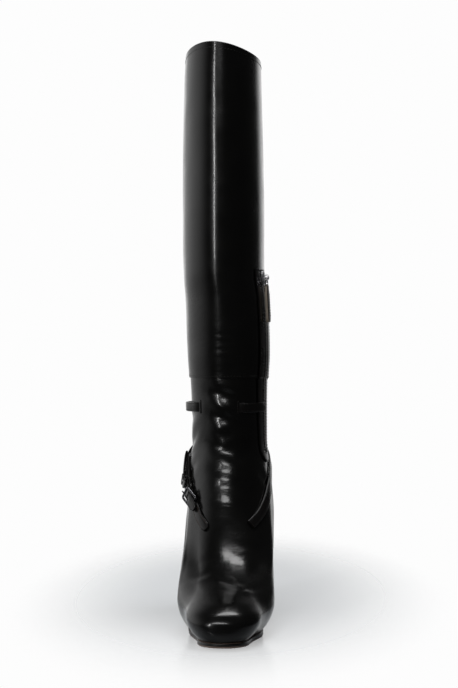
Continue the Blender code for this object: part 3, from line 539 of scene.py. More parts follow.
def cap(start, count):
    """Faces across one loop, from side to side, so that a flat end stays flat."""
    faces = []
    half = count // 2
    for k in range(half):
        corners = [start + k, start + k + 1, start + (count - k - 1) % count,
                   start + (count - k) % count]
        unique = [c for i, c in enumerate(corners) if c not in corners[:i]]
        if len(unique) > 2:
            faces.append(tuple(unique))
    return faces


def add_piece(name, points, faces, finishes, indices=None, sharp=0.8):
    """A mesh piece in the frame: points are given from the ankle's axis."""
    mesh = bpy.data.meshes.new(name)
    mesh.from_pydata([tuple(Vector(point) + BASE) for point in points], [], faces)
    for finish in finishes:
        mesh.materials.append(finish)
    if indices is not None:
        mesh.polygons.foreach_set("material_index", indices)
    work = bmesh.new()
    work.from_mesh(mesh)
    bmesh.ops.recalc_face_normals(work, faces=work.faces)
    work.to_mesh(mesh)
    work.free()
    mesh.shade_smooth()
    mesh.set_sharp_from_angle(angle=sharp)
    piece = bpy.data.objects.new(name, mesh)
    bpy.context.scene.collection.objects.link(piece)
    return piece


def flat(loops):
    """The points of all loops in one list."""
    return [point for loop in loops for point in loop]


def loft(name, loops, finishes, sharp=0.8, pick=None, ends=0):
    """A closed piece from loops, with capped ends. pick says which finish a side has."""
    count = len(loops[0])
    faces = loop_faces(len(loops), count)
    indices = [pick(face) if pick else 0 for face in faces]
    caps = cap(0, count) + cap((len(loops) - 1) * count, count)
    return add_piece(name, flat(loops), faces + caps, finishes, indices + [ends] * len(caps), sharp)


def hand_over(piece, body, slot, *nodes):
    """Let a finished piece ride on its body and stand for the plain solids."""
    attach(piece, body)
    if nodes:
        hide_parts(*nodes)
    print(piece.name, len(piece.data.polygons), "faces")
    return piece


# %% [markdown]
# ## The upper
# The upper is one wall: foot and shaft, joined by a lap seam above the ankle, where
# the shaft's leather lies on the vamp's. Where the ankle bends, the leather has
# taken folds. They are placed one by one, each as a soft trough with a low ridge on
# either side, between two places on the leather. A bump map could fake them, but
# then the bright bands on the glossy leather would not break where the folds are.

# %% Fold tables
# Turn is counted from the front over the inner side, negative over the outer side.
FOLD_ROWS = (            # turn, height, to turn, to height, sag, width, depth
    (-0.085, 0.2150, 0.085, 0.2060, 0.0005, 0.0050, 0.00165),
    (-0.080, 0.1945, 0.080, 0.1820, 0.0010, 0.0048, 0.00140),
    (-0.055, 0.1695, 0.085, 0.1820, 0.0000, 0.0044, 0.00085),
    (-0.110, 0.1690, 0.030, 0.1530, -0.0010, 0.0050, 0.00080),
    (0.000, 0.1505, 0.100, 0.1590, 0.0010, 0.0044, 0.00028),
    (-0.095, 0.1440, 0.040, 0.1395, 0.0010, 0.0052, 0.00048),
    (-0.060, 0.1290, 0.050, 0.1245, 0.0010, 0.0050, 0.00034),
    (-0.070, 0.1150, 0.050, 0.1130, 0.0020, 0.0050, 0.00018),
    (-0.150, 0.1760, -0.270, 0.1560, 0.0010, 0.0046, 0.00080),
    (-0.160, 0.1950, -0.300, 0.1830, 0.0010, 0.0050, 0.00060),
    (-0.140, 0.1490, -0.250, 0.1300, 0.0010, 0.0046, 0.00060),
    (0.140, 0.1400, 0.230, 0.1180, 0.0010, 0.0046, 0.00060),
    (-0.445, 0.2120, 0.445, 0.2130, 0.0000, 0.0042, 0.00070),
    (-0.430, 0.1960, 0.435, 0.1970, 0.0010, 0.0042, 0.00090),
    (-0.450, 0.1800, 0.450, 0.1810, 0.0010, 0.0038, 0.00070),
    (-0.040, 0.2680, 0.030, 0.2675, 0.0006, 0.0018, 0.00022),
    (-0.030, 0.2610, 0.036, 0.2600, 0.0006, 0.0018, 0.00024),
    (-0.040, 0.2530, 0.028, 0.2535, 0.0006, 0.0018, 0.00022),
    (-0.030, 0.2460, 0.034, 0.2450, 0.0006, 0.0018, 0.00020),
)
# The crease where the foot bends at the ball, from the outer to the inner side, and
# the finer ones beside it: x and height, seen from the front.
BALL_ROWS = (            # x, height, to x, to height, sag, width, depth
    (-0.0080, 0.0520, 0.0310, 0.0440, 0.0015, 0.0036, 0.00066),
    (-0.0330, 0.0500, -0.0120, 0.0560, 0.0010, 0.0040, 0.00033),
    (0.0060, 0.0790, 0.0260, 0.0740, 0.0010, 0.0042, 0.00028),
    (-0.0260, 0.0620, -0.0040, 0.0690, 0.0010, 0.0044, 0.00025),
)


# %% Find the level of a height
def level_of(turn, height):
    """The level at which the leather has a height, along one turn."""
    return bisect(0.0, TOP_LEVEL, 30, lambda level: form_point(level, turn).z > height)


def turn_of(x, height):
    """The turn on the front at which the leather has an x, at a height."""
    return bisect(-0.25, 0.25, 24, lambda turn: form_point(level_of(turn, height), turn).x > x)


FOLD_STEPS = 32          # steps along a fold


def fold_line(turn, height, to_turn, to_height, sag):
    """Points along a fold, from one place to another, with its sag."""
    if turn < -0.4 and to_turn > 0.4:
        turn += 1.0
    line = []
    for k in range(FOLD_STEPS + 1):
        share = k / FOLD_STEPS
        at = mix(turn, to_turn, share)
        drop = sag * sin(pi * share)
        line.append(form_point(level_of(at, mix(height, to_height, share) - drop), at))
    return np.array(line)


FOLDS = [(fold_line(*row[:5]), row[5], row[6]) for row in FOLD_ROWS]
for x, height, to_x, to_height, sag, width, depth in BALL_ROWS:
    FOLDS.append((fold_line(turn_of(x, height), height, turn_of(to_x, to_height), to_height, sag),
                  width, depth))
print("folds:", len(FOLDS))


# %% The relief of the leather
WAVES = ((0.060, 0.00028), (0.021, 0.00013))     # size and depth of soft dents, metres
WORN_HEIGHT = 0.155          # round the ankle the leather is dented most
WORN_REACH = 0.045
WORN_MORE = 2.6
RIDGE = 0.42                                     # a ridge's share of its trough's depth


def relief(points):
    """How far each point of the leather stands out, from folds and soft dents."""
    out = np.zeros(len(points))
    for line, width, depth in FOLDS:
        reach = width * 4.0
        near = np.all((points > line.min(0) - reach) & (points < line.max(0) + reach), axis=1)
        spots = np.nonzero(near)[0]
        if not len(spots):
            continue
        gaps = np.linalg.norm(points[spots, None, :] - line[None, :, :], axis=2)
        nearest = gaps.argmin(1)
        distance = gaps.min(1) / width
        fade = np.sin(np.pi * np.clip(nearest / (len(line) - 1.0), 0.02, 0.98)) ** 0.6
        trough = np.exp(-distance ** 2)
        ridge = np.exp(-((distance - 1.9) / 0.9) ** 2)
        out[spots] += fade * depth * (RIDGE * ridge - trough)
    worn = 1.0 + WORN_MORE * np.exp(-((points[:, 2] - WORN_HEIGHT) / WORN_REACH) ** 2)
    for size, depth in WAVES:
        out += worn * depth * np.array([noise.noise(Vector(p) / size) for p in points])
    return out


# %% Rings of the upper
RING_STEP = 0.0019
SIDES = 208
LINING_STEP = 4
LAP_EDGE = 0.012


GATHER = 0.10            # how much closer the points lie at the inner and outer side


def ring_turn(index, count=SIDES):
    """The turn of one of the points of a ring."""
    angle = tau * index / count
    return (angle + GATHER * sin(2.0 * angle)) / tau


def ring_levels():
    """Levels about one ring step apart, with close ones at the lap seam."""
    levels = []
    for row in range(int(TOP_LEVEL)):
        front = (form_point(row + 1.0, 0.0) - form_point(float(row), 0.0)).length
        back = (form_point(row + 1.0, 0.5) - form_point(float(row), 0.5)).length
        count = max(3, ceil(max(front, back) / RING_STEP))
        levels += [row + k / count for k in range(count)]
    levels = [level for level in levels if abs(level - SEAM_LEVEL) > 2.0 * LAP_EDGE]
    levels += [SEAM_LEVEL - LAP_EDGE, SEAM_LEVEL, SEAM_LEVEL + LAP_EDGE * 0.4,
               SEAM_LEVEL + LAP_EDGE, SEAM_LEVEL + LAP_EDGE * 2.5, TOP_LEVEL]
    return sorted(levels)


def lap_height(level):
    """How far the lapped leather stands out, with a rounded cut edge."""
    share = clamp((level - SEAM_LEVEL) / (LAP_EDGE * 1.5))
    return LAP_STEP * (1.0 - (1.0 - share) ** 3)


def outer_rings(levels):
    """The fine outside of the upper, folds and all."""
    points = []
    normals = []
    for level in levels:
        for k in range(SIDES):
            point, normal, _, _ = form_frame(level, ring_turn(k))
            points.append(point + normal * lap_height(level))
            normals.append(normal)
    points = np.array(points)
    normals = np.array(normals)
    calm = np.repeat([min(1.0, level / 1.5, (TOP_LEVEL - level) / 0.5) for level in levels], SIDES)
    moved = points + normals * (relief(points) * calm)[:, None]
    return moved.reshape(len(levels), SIDES, 3), normals.reshape(len(levels), SIDES, 3)


# %% Build the upper
RIM = ((0.25, 0.20), (0.5, 0.30), (0.75, 0.20))    # rounded collar: share of wall, rise in walls


def build_upper():
    """The leather wall: fine outside, rolled collar, plain lined inside."""
    levels = ring_levels()
    outside, normals = outer_rings(levels)
    loops = list(outside)
    for share, rise in RIM:
        loop = outside[-1] - normals[-1] * WALL * share
        loop[:, 2] += rise * WALL
        loops.append(loop)
    inner = [k for k in range(len(levels)) if k % LINING_STEP == 0 or k == len(levels) - 1]
    for k in reversed(inner):
        loops.append(outside[k] - normals[k] * (WALL + lap_height(levels[k])))
    faces = loop_faces(len(loops), SIDES, wrap=True)
    lining_from = (len(levels) + len(RIM)) * SIDES
    indices = [1 if face[0] >= lining_from else 0 for face in faces]
    piece = add_piece("boot_upper", np.concatenate(loops), faces, (polished_calf, kid_lining),
                      indices)
    return hand_over(piece, "boot", "black_calf", "upper")


build_upper()

# %% [markdown]
# ## Sole, heel and top lift
# The outsole is cut to the last with a narrow edge and sanded round. The block heel
# is glued up from leather lifts, so faint lines run round it, and its rubber top
# lift is pinned on below. All three follow the sole line of the last.


# %% Outlines of sole and heel
SOLE_SIDES = 160
SOLE_EDGE_ROWS = (       # drawn in, depth as a share of the sole's thickness
    (0.0007, 0.00), (0.0002, 0.06), (0.0000, 0.18), (0.0000, 0.62), (0.0001, 0.78),
    (0.0004, 0.92), (0.0010, 1.00), (0.0030, 1.00),
)


def sole_outline(margin, count=SOLE_SIDES):
    """The upper's lowest section, moved outward in the plan and laid on the sole line."""
    section = section_at(0.0)
    outline = []
    for k in range(count):
        point, normal, _, _ = form_frame(0.0, ring_turn(k, count))
        moved = point + Vector((normal.x, normal.y, 0.0)).normalized() * margin
        moved.z = last_height(along_at(section, moved.y))
        outline.append(moved)
    return outline


def lowered(outline, drop):
    """A copy of an outline, moved down."""
    return [point - Vector((0.0, 0.0, drop)) for point in outline]


INKED_ROWS = 3           # the loops of the edge, from above, that are inked


def build_outsole():
    """The outsole: its edge is inked black, down to a bare lower rim."""
    loops = [lowered(sole_outline(SOLE_EDGE - inset), CLEARANCE + depth * OUTSOLE_THICKNESS)
             for inset, depth in SOLE_EDGE_ROWS]
    piece = loft("boot_outsole", loops, (bend_leather, inked_lifts),
                 pick=lambda face: int(face[0] < INKED_ROWS * SOLE_SIDES))
    return hand_over(piece, "boot", "sole_leather", "outsole")


build_outsole()


# %% The stacked heel
LIFT_COUNT = 12
LIFT_GROOVE = 0.00022
HEEL_SIDES = 96
HEEL_BACK_ROUND = (0.52, 2.2)
HEEL_BREAST_ROUND = (0.07, 2.0)


def heel_outline(share, back_y, length, inset=0.0):
    """A heel's D outline: a round back and a nearly straight breast."""
    half = HEEL_WIDTH / 2.0 * share - inset
    outline = []
    for k in range(HEEL_SIDES):
        angle = tau * k / HEEL_SIDES
        along = (1.0 - cos(angle)) / 2.0
        width = half * round_end(along, *HEEL_BACK_ROUND)
        width *= round_end(1.0 - along, *HEEL_BREAST_ROUND)
        side = 1.0 if sin(angle) >= 0.0 else -1.0
        y = back_y - inset - along * (length - 2.0 * inset)
        outline.append(Vector((side * width, y, 0.0)))
    return outline


def seat_height_at(y):
    """Height of the heel's top face, under the outsole."""
    return last_height(along_at(section_at(0.0), y)) - OUTSOLE_THICKNESS - HEEL_GAP


HEEL_BACK = section_at(0.0)["back_y"] + SOLE_EDGE - HEEL_INSET


def heel_loop(depth, inset):
    """One loop of the heel at a depth from its seat (0) to its foot (1)."""
    share = mix(1.0, HEEL_TAPER, depth)
    outline = heel_outline(share, HEEL_BACK - HEEL_PITCH * depth, HEEL_LENGTH * share, inset)
    floor = TOP_LIFT_THICKNESS + CLEARANCE
    return [Vector((p.x, p.y, mix(seat_height_at(p.y), floor, depth))) for p in outline]


heel_loops = [heel_loop(0.0, 0.0006)]
for lift in range(LIFT_COUNT):
    for part, inset in ((0.04, LIFT_GROOVE), (0.20, 0.0), (0.80, 0.0), (0.96, LIFT_GROOVE)):
        heel_loops.append(heel_loop((lift + part) / LIFT_COUNT, inset))
heel_loops.append(heel_loop(1.0, 0.0004))
hand_over(loft("boot_heel", heel_loops, (inked_lifts,)), "boot", "heel_stack", "heel")


# %% The rubber top lift
def lift_loop(height, inset):
    """One loop of the top lift."""
    outline = heel_outline(HEEL_TAPER, HEEL_BACK - HEEL_PITCH, HEEL_LENGTH * HEEL_TAPER, inset)
    return [Vector((p.x, p.y, height)) for p in outline]


lift_loops = [lift_loop(TOP_LIFT_THICKNESS, 0.0004), lift_loop(TOP_LIFT_THICKNESS * 0.93, 0.0),
              lift_loop(TOP_LIFT_THICKNESS * 0.10, 0.0), lift_loop(0.0, 0.0005)]
hand_over(loft("boot_top_lift", lift_loops, (lift_rubber,)), "boot", "rubber", "top_lift")
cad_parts["insole"].data.materials.clear()
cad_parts["insole"].data.materials.append(kid_lining)

# %% [markdown]
# ## Routes over the leather
# Straps, facings and stitch lines all follow the leather. A route is a row of places
# on it, each a level, a turn and how far it stands off, evenly spaced along the way.
# `beside` steps sideways over the leather, so a wide strap bends with it instead of
# standing off like a flat board.


# %% Places and routes
def locate(side, y, z):
    """The level and turn of the point of one side that has this y and z."""
    def spot(level):
        section = section_at(round(level, 9))
        return section, along_at(section, y)

    level = bisect(0.0, TOP_LEVEL, 40, lambda at: section_height(*spot(at)) > z)
    turn = acos(2.0 * spot(level)[1] - 1.0) / tau
    return level, (turn if side > 0 else 1.0 - turn)


def trace(rows, spacing):
    """Places along a route on the leather, evenly spaced: level, turn and stand-off."""
    places = tuple(float(index) for index in range(len(rows)))
    columns = [tuple(values) for values in zip(*rows)]
    steps = 24 * (len(rows) - 1)
    dense = [tuple(smooth(places, values, index * places[-1] / steps) for values in columns)
             for index in range(steps + 1)]
    spots = [skin(*place) for place in dense]
    run = [0.0]
    for a, b in zip(spots, spots[1:]):
        run.append(run[-1] + (b - a).length)
    count = max(int(round(run[-1] / spacing)), 3)
    chosen = []
    index = 0
    for k in range(count + 1):
        goal = run[-1] * k / count
        while index < len(run) - 2 and run[index + 1] < goal:
            index += 1
        share = (goal - run[index]) / max(run[index + 1] - run[index], 1e-9)
        chosen.append(tuple(mix(a, b, share) for a, b in zip(dense[index], dense[index + 1])))
    return chosen


def route_frame(route, index):
    """The frame of a strap at one of its places: point, along, across and outward."""
    level, turn, lift = route[index]
    before = route[max(index - 1, 0)]
    after = route[min(index + 1, len(route) - 1)]
    along = (skin(*after) - skin(*before)).normalized()
    _, normal, _, _ = form_frame(level, turn)
    normal = (normal - along * normal.dot(along)).normalized()
    return skin(level, turn, lift), along, normal.cross(along), normal


def beside(level, turn, direction, distance):
    """Move along the leather in a direction: the new level and turn."""
    _, _, upward, onward = form_frame(level, turn)
    step = direction * distance
    uu, uo, oo = upward.dot(upward), upward.dot(onward), onward.dot(onward)
    su, so = step.dot(upward), step.dot(onward)
    whole = uu * oo - uo * uo
    return level + (su * oo - so * uo) / whole, turn + (so * uu - su * uo) / whole


# %% A strap along a route
STRAP_STEP = 0.0016
TIP_REACH = 0.55
TIP_BLUNT = 0.42
STRAP_PROFILE = (        # half of a strap's section: share of half width, share of thickness
    (0.00, 1.06), (0.34, 1.05), (0.60, 1.02), (0.69, 0.92), (0.78, 1.00), (0.89, 0.99),
    (0.97, 0.84), (1.00, 0.52), (0.98, 0.18), (0.91, 0.00), (0.40, 0.00),
)
FLAT_PROFILE = (         # a thin facing, with a skived edge
    (0.00, 1.00), (0.45, 1.00), (0.80, 1.00), (0.93, 0.86), (1.00, 0.45), (0.98, 0.05),
    (0.50, 0.00),
)


def whole_profile(half):
    """A strap's section all round, from its half."""
    mirrored = [(-share, height) for share, height in half[:0:-1]]
    return list(half) + [(0.0, 0.0)] + mirrored


def tip_width(distance, width):
    """The width share of a rounded strap end at a distance from its tip."""
    return max(round_end(distance, width * TIP_REACH, 2.0), TIP_BLUNT)


def strap_loops(route, width, thickness, profile, tips=(), over=0.0):
    """The loops of a strap along a route."""
    section = whole_profile(profile)
    loops = []
    step = sum((skin(*b) - skin(*a)).length for a, b in zip(route, route[1:])) / (len(route) - 1)
    for index, (level, turn, lift) in enumerate(route):
        _, _, across, _ = route_frame(route, index)
        narrow = 1.0
        if "start" in tips:
            narrow = min(narrow, tip_width(index * step, width))
        if "end" in tips:
            narrow = min(narrow, tip_width((len(route) - 1 - index) * step, width))
        loop = []
        for share, height in section:
            at, round_to = beside(level, turn, across, share * narrow * width / 2.0)
            at = clamp(at, 0.0, TOP_LEVEL)
            loop.append(skin(at, round_to, lift + over + CLEARANCE + height * thickness))
        loops.append(loop)
    return loops


def strap(name, route, width, thickness, nodes=(), profile=STRAP_PROFILE, tips=("end",),
          over=0.0, finish=strap_calf, slot="strap_leather"):
    """A strap, facing or tape along a route, handed to the boot."""
    loops = strap_loops(route, width, thickness, profile, tips, over)
    return hand_over(loft(name, loops, (finish,)), "boot", slot, *nodes)


# %% [markdown]
# ## Stitches
# A saddle stitch is a short, slightly sunk bar of thread. Modelling each one as a
# tiny capsule costs little, since a whole seam becomes one mesh, and it catches the
# light the way a painted line can't.

# %% Stitch lines
STITCH = 0.0021
STITCH_GAP = 0.0009
THREAD = 0.00026
THREAD_SIDES = 6


def beside_route(route, distance, out):
    """A line on the leather, beside a route, as points with their outward normals."""
    line = []
    for index, (level, turn, lift) in enumerate(route):
        _, _, across, normal = route_frame(route, index)
        at, round_to = beside(level, turn, across, distance)
        line.append((skin(clamp(at, 0.0, TOP_LEVEL), round_to, lift + out), normal))
    return line


def walk(line, pitch):
    """Evenly spaced places along a line: point, direction and outward normal."""
    run = [0.0]
    for (a, _), (b, _) in zip(line, line[1:]):
        run.append(run[-1] + (b - a).length)
    spots = []
    index = 0
    for k in range(int(run[-1] / pitch)):
        goal = (k + 0.5) * pitch
        while index < len(run) - 2 and run[index + 1] < goal:
            index += 1
        (a, up), (b, _) = line[index], line[index + 1]
        share = (goal - run[index]) / max(run[index + 1] - run[index], 1e-9)
        spots.append((a.lerp(b, share), (b - a).normalized(), up))
    return spots


def stitch_seam(name, lines, thread, slot, body="boot", length=STITCH):
    """All stitches of some lines as one mesh."""
    points = []
    faces = []
    for line in lines:
        for centre, along, up in walk(line, length + STITCH_GAP):
            side = along.cross(up).normalized()
            up = side.cross(along)
            start = len(points)
            for place, size, sink in ((-0.5, 0.35, 1.0), (-0.30, 1.0, 0.25), (0.30, 1.0, 0.25),
                                      (0.5, 0.35, 1.0)):
                middle = centre + along * length * place - up * THREAD * sink
                for k in range(THREAD_SIDES):
                    angle = tau * k / THREAD_SIDES
                    points.append(middle + (side * cos(angle) + up * sin(angle)) * THREAD * size)
            ends = (start, start + 3 * THREAD_SIDES)
            faces += [tuple(start + i for i in f) for f in loop_faces(4, THREAD_SIDES)]
            faces += [tuple(end + k for k in range(THREAD_SIDES)) for end in ends]
    return hand_over(add_piece(name, points, faces, (thread,)), body, slot)


# %% [markdown]
# ## The harness strap and its buckle
# A narrow strap is sewn to the inner vamp, runs up round the back of the ankle and
# down to a small dark buckle on the outer side. Above the buckle it is doubled and
# held by a keeper, and a lining strap fills the gap to the boot. A short billet comes
# up from the outer vamp to meet it.

# %% The harness strap's sizes and route
STRAP_THICKNESS = 0.0018
DOUBLING_WIDTH = 0.0098
DOUBLING_THICKNESS = 0.0019
HARNESS_WIDTH = 0.0088
HARNESS_STEP = 0.005
HARNESS_ROWS = (         # side, along behind the ankle, height, stand-off
    (+1, -0.292, 0.555, 0.0000),
    (+1, -0.230, 0.610, 0.0000),
    (+1, -0.125, 0.735, 0.0000),
    (+1, 0.000, 0.870, 0.0002),
    (+1, 0.100, 0.960, 0.0005),
    (+1, 0.150, 0.995, 0.0006),
    (+1, 0.260, 1.010, 0.0008),
    (-1, 0.150, 0.999, 0.0010),
    (-1, 0.110, 0.975, 0.0014),
    (-1, 0.050, 0.925, 0.0022),
    (-1, -0.020, 0.860, 0.0028),
    (-1, -0.090, 0.780, 0.0030),
    (-1, -0.150, 0.710, 0.0030),
    (-1, -0.192, 0.662, 0.0040),
    (-1, -0.226, 0.622, 0.0034),
)
BUCKLE_UPPER = (-0.150, 0.710)
BUCKLE_LOWER = (-0.192, 0.662)
DOUBLING_START = (0.030, 0.908)
DOUBLING_END = (-0.125, 0.740)
KEEPER_SPOT = (-0.095, 0.772)
BILLET_ROWS = (
    (-1, -0.210, 0.640, 0.0003),
    (-1, -0.240, 0.600, 0.0003),
    (-1, -0.276, 0.562, 0.0001),
    (-1, -0.304, 0.532, 0.0000),
)


def harness_places(rows):
    """Rows of the harness tables as level, turn and stand-off."""
    return [(*locate(side, along * FOOT_LENGTH, up * ANKLE_HEIGHT), lift)
            for side, along, up, lift in rows]


def route_index(route, along, up):
    """The index of the outer side's place on a route that lies nearest a side view spot."""
    found = []
    for index, place in enumerate(route):
        spot = skin(*place)
        if place[1] > 0.5:
            found.append((abs(spot.y - along * FOOT_LENGTH) + abs(spot.z - up * ANKLE_HEIGHT),
                          index))
    return min(found)[1]


harness_route = trace(harness_places(HARNESS_ROWS), STRAP_STEP)
coarse_route = trace(harness_places(HARNESS_ROWS), HARNESS_STEP)
billet_route = trace(harness_places(BILLET_ROWS), STRAP_STEP)
print("harness strap", round(len(harness_route) * STRAP_STEP / MM), "mm long")

# %% Build the harness strap, its doubling and the billet
UNDERLAY_WIDTH = 0.0112
UNDERLAY_THICKNESS = 0.0030
UNDERLAY_START = (0.012, 0.885)
UNDERLAY_END = (-0.165, 0.692)


def stretch(start, end):
    """The harness route between two spots of the side view."""
    return harness_route[route_index(harness_route, *start):route_index(harness_route, *end) + 1]


strap("harness", harness_route, HARNESS_WIDTH, STRAP_THICKNESS, ("harness_strap",))
doubled = stretch(DOUBLING_START, DOUBLING_END)
strap("harness_doubling", doubled, DOUBLING_WIDTH, DOUBLING_THICKNESS, ("strap_doubling",),
      over=STRAP_THICKNESS + CLEARANCE)
underlaid = [(level, turn, 0.0) for level, turn, _ in stretch(UNDERLAY_START, UNDERLAY_END)]
strap("harness_underlay", underlaid, UNDERLAY_WIDTH, UNDERLAY_THICKNESS, tips=("start", "end"))
strap("harness_billet", billet_route, HARNESS_WIDTH, STRAP_THICKNESS, ("billet",))


# %% A round wire along a line
def tube(name, line, radius, finish, cyclic=False, sides=14):
    """A wire of round section along a line of points, carried along without twist."""
    count = len(line)
    points = []
    side = None
    for index, point in enumerate(line):
        before = line[index - 1] if index or cyclic else point
        after = line[(index + 1) % count] if index < count - 1 or cyclic else point
        along = (after - before).normalized()
        if side is None:
            side = along.orthogonal().normalized()
        side = (side - along * side.dot(along)).normalized()
        other = along.cross(side)
        for k in range(sides):
            angle = tau * k / sides
            points.append(point + (side * cos(angle) + other * sin(angle)) * radius)
    faces = loop_faces(count, sides)
    if cyclic:
        last = (count - 1) * sides
        shift = min(range(sides), key=lambda k: (points[last] - points[k]).length)
        faces += [(last + k, last + (k + 1) % sides, (k + 1 + shift) % sides,
                   (k + shift) % sides) for k in range(sides)]
    else:
        faces += cap(0, sides) + cap((count - 1) * sides, sides)
    return add_piece(name, points, faces, (finish,))


def rounded_loop(centre, across, along, width, length, corner, steps=8):
    """Points round a rectangle with round corners, in the plane of two directions."""
    points = []
    for quarter, (sx, sy) in enumerate(((1, 1), (-1, 1), (-1, -1), (1, -1))):
        for k in range(steps + 1):
            angle = pi / 2.0 * (quarter + k / steps)
            x = sx * (width / 2.0 - corner) + corner * cos(angle)
            y = sy * (length / 2.0 - corner) + corner * sin(angle)
            points.append(centre + across * x + along * y)
    return points


# %% The buckle
BUCKLE_WIRE = 0.0011
BUCKLE_WIDTH = 0.0150
BUCKLE_SLACK = 0.0007
BUCKLE_CORNER = 0.0022
PRONG_WIRE = 0.0007
PRONG_OVERHANG = 0.0016


def build_buckle():
    """The buckle's frame over the strap, and its prong."""
    upper_point, _, across, upper_normal = route_frame(
        coarse_route, route_index(coarse_route, *BUCKLE_UPPER))
    lower_point, _, _, lower_normal = route_frame(
        coarse_route, route_index(coarse_route, *BUCKLE_LOWER))
    gap = BUCKLE_WIRE + CLEARANCE + BUCKLE_SLACK
    upper_bar = upper_point + upper_normal * (CLEARANCE + STRAP_THICKNESS + gap)
    lower_bar = lower_point + lower_normal * (CLEARANCE - gap)
    along = (lower_bar - upper_bar).normalized()
    normal = across.cross(along).normalized()
    if normal.dot(upper_normal) < 0.0:
        normal = -normal
    across = along.cross(normal).normalized()
    loop = rounded_loop((lower_bar + upper_bar) / 2.0, across, along,
                        BUCKLE_WIDTH - 2.0 * BUCKLE_WIRE, (lower_bar - upper_bar).length,
                        BUCKLE_CORNER)
    hand_over(tube("buckle_ring", loop, BUCKLE_WIRE, buckle_nickel, cyclic=True), "boot", "chrome",
              "buckle_frame")
    rest = upper_bar + normal * (BUCKLE_WIRE + PRONG_WIRE + CLEARANCE)
    near = lower_point + lower_normal * (CLEARANCE * 2.0 + STRAP_THICKNESS + PRONG_WIRE
                                         + BUCKLE_SLACK)
    line = [rest - along * PRONG_OVERHANG] + [rest.lerp(near, k / 20.0) for k in range(16)]
    hand_over(tube("buckle_tongue", line, PRONG_WIRE, buckle_nickel), "boot", "chrome",
              "buckle_prong")


build_buckle()

# %% The keeper
KEEPER_THICKNESS = 0.0009
KEEPER_WIDTH = 0.005
KEEPER_SLACK = 0.0004
KEEPER_SECTION = ((-0.50, 0.15), (-0.50, 0.55), (-0.40, 0.80), (0.0, 0.90), (0.40, 0.80),
                  (0.50, 0.55), (0.50, 0.15), (0.40, 0.0), (-0.40, 0.0))


def build_keeper():
    """The leather loop round the strap and its doubling."""
    index = route_index(coarse_route, *KEEPER_SPOT)
    point, along, across, normal = route_frame(coarse_route, index)
    stack = STRAP_THICKNESS + DOUBLING_THICKNESS + CLEARANCE * 2.0
    centre = point + normal * stack / 2.0
    loops = []
    for share, height in KEEPER_SECTION:
        grown = KEEPER_SLACK + height * KEEPER_THICKNESS
        loops.append(rounded_loop(centre + along * KEEPER_WIDTH * share, across, normal,
                                  HARNESS_WIDTH + 2.0 * grown, stack + 2.0 * grown,
                                  0.0006 + height * KEEPER_THICKNESS))
    faces = loop_faces(len(loops), len(loops[0]), wrap=True)
    hand_over(add_piece("strap_keeper", flat(loops), faces, (strap_calf,)), "boot",
              "strap_leather", "keeper")


build_keeper()

# %% [markdown]
# ## The ankle strap
# A second strap threads through two slits at the front of the ankle: it runs round
# the back, dives into the outer slit, and comes out of the inner one with a short
# rounded tip that ends just before the zip. The hidden stretch between the slits is
# left out, and each slit has a dark bound edge.

# %% Build the ankle strap
ANKLE_STRAP_WIDTH = 0.009
ANKLE_STRAP_HEIGHT = 0.199
ANKLE_STRAP_ROWS = (     # turn and stand-off
    (0.868, 0.0004), (0.830, 0.0018), (0.780, 0.0034), (0.730, 0.0036), (0.670, 0.0022),
    (0.590, 0.0010), (0.500, 0.0006), (0.400, 0.0005), (0.310, 0.0003),
)
ANKLE_TIP_ROWS = ((0.052, 0.0004), (0.100, 0.0008), (0.132, 0.0018), (0.160, 0.0020),
                  (0.178, 0.0020))
SLIT_SINK = 0.0016
SLIT_DIVE = 4.0              # places of the route over which the strap dives
SHARE_UP = (ANKLE_STRAP_HEIGHT - ANKLE_HEIGHT) / (TOP_HEIGHT - ANKLE_HEIGHT)
SHAFT_HEIGHTS = (0.0,) + tuple(row[0] for row in SHAFT_ROWS)
STRAP_LEVEL = smooth(SHAFT_HEIGHTS, tuple(ANKLE_LEVEL + k for k in range(len(SHAFT_HEIGHTS))),
                     SHARE_UP)


def ankle_route(rows):
    """A route at the strap's level whose first places dive into the slit."""
    route = trace([(STRAP_LEVEL, turn, lift) for turn, lift in rows], STRAP_STEP)
    return [(level, turn, lift - SLIT_SINK * max(1.0 - index / SLIT_DIVE, 0.0) ** 2)
            for index, (level, turn, lift) in enumerate(route)]


around_route = ankle_route(ANKLE_STRAP_ROWS)
tip_route = ankle_route(ANKLE_TIP_ROWS)
strap("ankle_strap_round", around_route, ANKLE_STRAP_WIDTH, STRAP_THICKNESS, ("ankle_strap",),
      tips=())
strap("ankle_strap_end", tip_route, ANKLE_STRAP_WIDTH, STRAP_THICKNESS, ("ankle_strap_tip",))


# %% The slits
SLIT_LENGTH = 0.0125
SLIT_STEP = 0.0009
SLIT_ASIDE = 0.004           # turn from the strap's end to its slit
SLIT_WIDTH = 0.0020
SLIT_THICKNESS = 0.0005


def slit_route(turn):
    """A short upright route at a slit."""
    low = level_of(turn, ANKLE_STRAP_HEIGHT - SLIT_LENGTH / 2.0)
    high = level_of(turn, ANKLE_STRAP_HEIGHT + SLIT_LENGTH / 2.0)
    return trace([(mix(low, high, share), turn, 0.0) for share in (0.0, 0.5, 1.0)], SLIT_STEP)


for name, turn in (("slit_outer", ANKLE_STRAP_ROWS[0][0] + SLIT_ASIDE),
                   ("slit_inner", ANKLE_TIP_ROWS[0][0] - SLIT_ASIDE)):
    strap(name, slit_route(turn), SLIT_WIDTH, SLIT_THICKNESS, (), FLAT_PROFILE, ("start", "end"))

# %% [markdown]
# ## The zip
# The zip runs up the inner side to the lower calf. Its leather facing goes down one
# side, round the bottom and up the other, with a line of stitches along each edge.
# Under the teeth lies the woven tape. Each tooth is a small bar, and the two rows
# mesh, so every other bar is set a little to the front or to the back.

